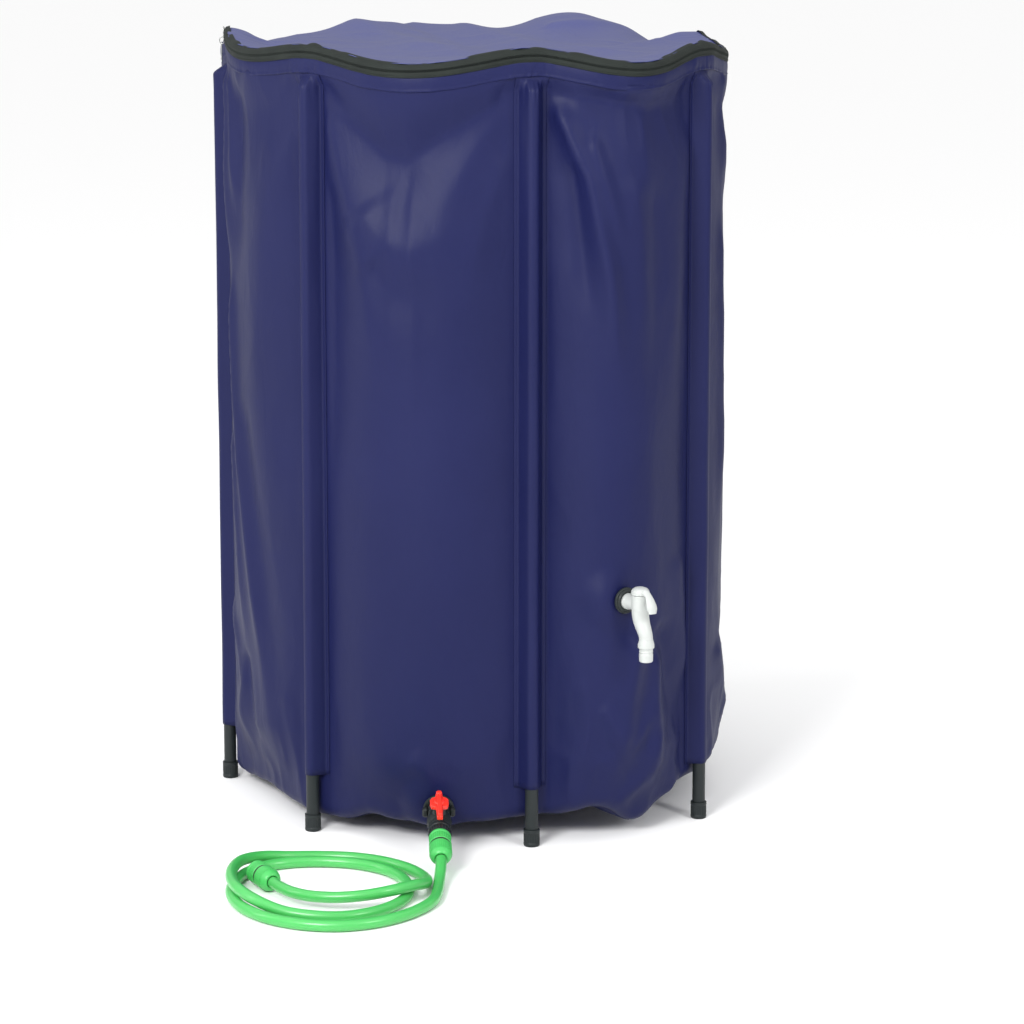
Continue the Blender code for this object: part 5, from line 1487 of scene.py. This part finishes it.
# %% Tap
def swept_mesh(path, radii, place, sides=40, steps=6):
    """A closed tube along a smooth path whose radius changes on the way."""
    line = smooth_route(path, steps)
    reach = np.interp(np.linspace(0, 1, len(line)), np.linspace(0, 1, len(radii)), radii)
    reach = smoothed(reach, 5)
    way = np.gradient(line, axis=0)
    way /= np.linalg.norm(way, axis=1)[:, None]
    side = np.array([1.0, 0, 0])
    other = np.cross(way, side)
    angles = np.linspace(0, 2 * math.pi, sides, endpoint=False)
    rows = [line[0] + np.zeros((sides, 3))]
    for centre, across, radius in zip(line, other, reach):
        rows.append(centre + radius * (np.cos(angles)[:, None] * side + np.sin(angles)[:, None] * across))
    rows.append(line[-1] + np.zeros((sides, 3)))
    mesh = grid_mesh("tube", np.array(rows), True)
    face_outwards(mesh)
    mesh.transform(place)
    return mesh


washer("tap_seal", 0.0093, 0.0172, 0.0176, 0.0002, 0.0020, 0.0004, TAP, ("tap_gasket",))
turned("tap_ring", ((0.0094, 0.0023), (0.0196, 0.0023), (0.0202, 0.0034), (0.0202, 0.0062),
                    (0.0188, 0.0074), (0.0172, 0.0070), (0.0160, 0.0084), (0.0146, 0.0100),
                    (0.0127, 0.0100), (0.0127, 0.0060), (0.0094, 0.0060), (0.0094, 0.0026)),
       "black_plastic", "tank", ("tap_clamp_ring",), TAP, 72)
washer("tap_inner_washer", 0.0093, 0.0165, 0.0165, -0.0037, -0.0014, -0.0034, TAP)
inlet = soften([(0.0, -0.0220), (0.0090, -0.0220), (0.0090, 0.0063), (0.0122, 0.0063), (0.0124, 0.0130),
                (0.0112, 0.0175), (0.0108, 0.0260), (0.0100, 0.0380), (0.0, 0.0380)], 0.0016)
barrel = soften([(0.0, -0.0150), (0.0120, -0.0130), (0.0134, -0.0060), (0.0134, 0.0152), (0.0, 0.0152)],
                0.0010)
SPOUT_PATH = ((0, -0.002, 0.0400), (0, -0.014, 0.0405), (0, -0.026, 0.0440), (0, -0.036, 0.0495),
              (0, -0.045, 0.0538), (0, -0.055, 0.0549))
SPOUT_RADII = (0.0130, 0.0130, 0.0122, 0.0112, 0.0104, 0.0104)
NOZZLE_AT = TAP @ Matrix.Translation((0, -0.050, 0.0549)) @ Matrix.Rotation(math.pi / 2, 4, "X")
nozzle = soften([(0.0, 0.0), (0.0104, 0.0), (0.0112, 0.0030), (0.0124, 0.0075), (0.0126, 0.0125),
                 (0.0104, 0.0140), (0.0101, 0.0175), (0.0108, 0.0190), (0.0096, 0.0205), (0.0106, 0.0222),
                 (0.0104, 0.0330), (0.0092, 0.0345), (0.0062, 0.0345), (0.0062, 0.0200), (0.0, 0.0200)],
                0.0006)
tap = joined("tap_moulding", [turned_mesh("inlet", inlet, TAP, 56),
                              swept_mesh(SPOUT_PATH, SPOUT_RADII, TAP),
                              turned_mesh("barrel", barrel, PLUG, 56),
                              turned_mesh("nozzle", nozzle, NOZZLE_AT, 48)], "white_plastic")
mount(tap, "tank", "tap_body")
dome = soften([(0.0, 0.0204), (0.0088, 0.0204), (0.0088, 0.0156), (0.0134, 0.0156), (0.0142, 0.0180),
               (0.0136, 0.0218), (0.0112, 0.0252), (0.0064, 0.0272), (0.0, 0.0277)], 0.0014)
PADDLE_PATH = ((0, -0.0060, 0.0205), (0, -0.0140, 0.0195), (0, -0.0215, 0.0160), (0, -0.0270, 0.0090),
               (0, -0.0298, 0.0000), (0, -0.0305, -0.0080))
PADDLE_FLATNESS = 0.55
PADDLE_RADII = (0.0062, 0.0060, 0.0058, 0.0078, 0.0096, 0.0062)
paddle = swept_mesh(PADDLE_PATH, PADDLE_RADII, Matrix(), 32)
for spot in paddle.vertices:
    centre = np.interp(-spot.co.z, (-0.0195, 0.0080), (-0.0160, -0.0302))
    spot.co.y = centre + (spot.co.y - centre) * PADDLE_FLATNESS
tap_cap = joined("tap_lever_cap", [turned_mesh("dome", dome, Matrix(), 56), paddle], "white_plastic")
tap_cap.data.transform(PLUG)
mount(tap_cap, "tap_lever", "tap_handle")
print("tap axis at", [round(v, 3) for v in PLUG.to_translation()])

# %% [markdown]
# ## Sheets of the cloth
# The bag's halves are as long as the way round the modelled tank. No flat size is set for any sheet
# here: the code only lists the first four sleeves and the hem, and keeps nothing.

SLEEVES[:4] + [hem]
print("sheets declared", 4)

# %% [markdown]
# ## Floor and light
# The tank stands on a plain pale floor that is wide enough to fill the view. A sky that is
# brighter overhead lights it, a large soft box in front and to the left shapes the folds, and two
# narrow ones at the sides put long soft streaks down the sleeves.

# %% Floor and light
bpy.context.scene.view_settings.view_transform = "Standard"
FLOOR_HALF, FLOOR_HEIGHT = 60.0, -0.0002
FLOOR_CORNERS = [(x * FLOOR_HALF, y * FLOOR_HALF, FLOOR_HEIGHT)
                 for x, y in ((-1, -1), (1, -1), (1, 1), (-1, 1))]
FLOOR_LOOK = {"Base Color": (0.96, 0.96, 0.96, 1), "Roughness": 0.8, "Specular IOR Level": 0.1}
SKY_LOW, SKY_RISE = 0.28, 1.10
floor_mesh = bpy.data.meshes.new("ground")
floor_mesh.from_pydata(FLOOR_CORNERS, [], [(0, 1, 2, 3)])
pale = bpy.data.materials.new("pale_floor")
pale.use_nodes = True
for socket, value in FLOOR_LOOK.items():
    pale.node_tree.nodes["Principled BSDF"].inputs[socket].default_value = value
floor_mesh.materials.append(pale)
ground = bpy.data.objects.new("ground", floor_mesh)
bpy.context.scene.collection.objects.link(ground)
ground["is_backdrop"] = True

sky = bpy.data.worlds.new("studio")
bpy.context.scene.world = sky
sky.use_nodes = True
bench = Bench(sky.node_tree)
backdrop = sky.node_tree.nodes["Background"]
backdrop.inputs["Color"].default_value = (1, 1, 1, 1)
_, _, height = bench.split(bench.node("ShaderNodeTexCoord", output="Generated"))
bench.wire(height * SKY_RISE + SKY_LOW, backdrop.inputs["Strength"])

# name, place, where it points, width, height, watts
LAMPS = (("soft_box", (-1.8, -3.9, 2.9), (0.0, 0.0, 0.9), 1.5, 1.3, 190),
         ("side_box", (2.6, -3.0, 2.6), (0.1, 0.0, 0.8), 0.8, 1.4, 56),
         ("edge_box", (-3.2, -0.6, 1.6), (0.0, 0.0, 0.7), 0.5, 2.0, 22))
for name, place, aim, width, height, watts in LAMPS:
    lamp = bpy.data.lights.new(name, "AREA")
    lamp.shape = "RECTANGLE"
    lamp.size, lamp.size_y, lamp.energy = width, height, watts
    holder = bpy.data.objects.new(name, lamp)
    bpy.context.scene.collection.objects.link(holder)
    holder.location = place
    holder.rotation_euler = (Vector(aim) - Vector(place)).to_track_quat("-Z", "Y").to_euler()
print("lamps", len(LAMPS))

# %% [markdown]
# ## Measure and finish
# The visual model's box and its number of triangles are printed.

# %% Sizes
low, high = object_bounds()
triangles = sum(sum(len(face.vertices) - 2 for face in piece.data.polygons)
                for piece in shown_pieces() if piece.type == "MESH")
print("visual box", [round(v, 4) for v in (*low, *high)], "triangles", triangles)
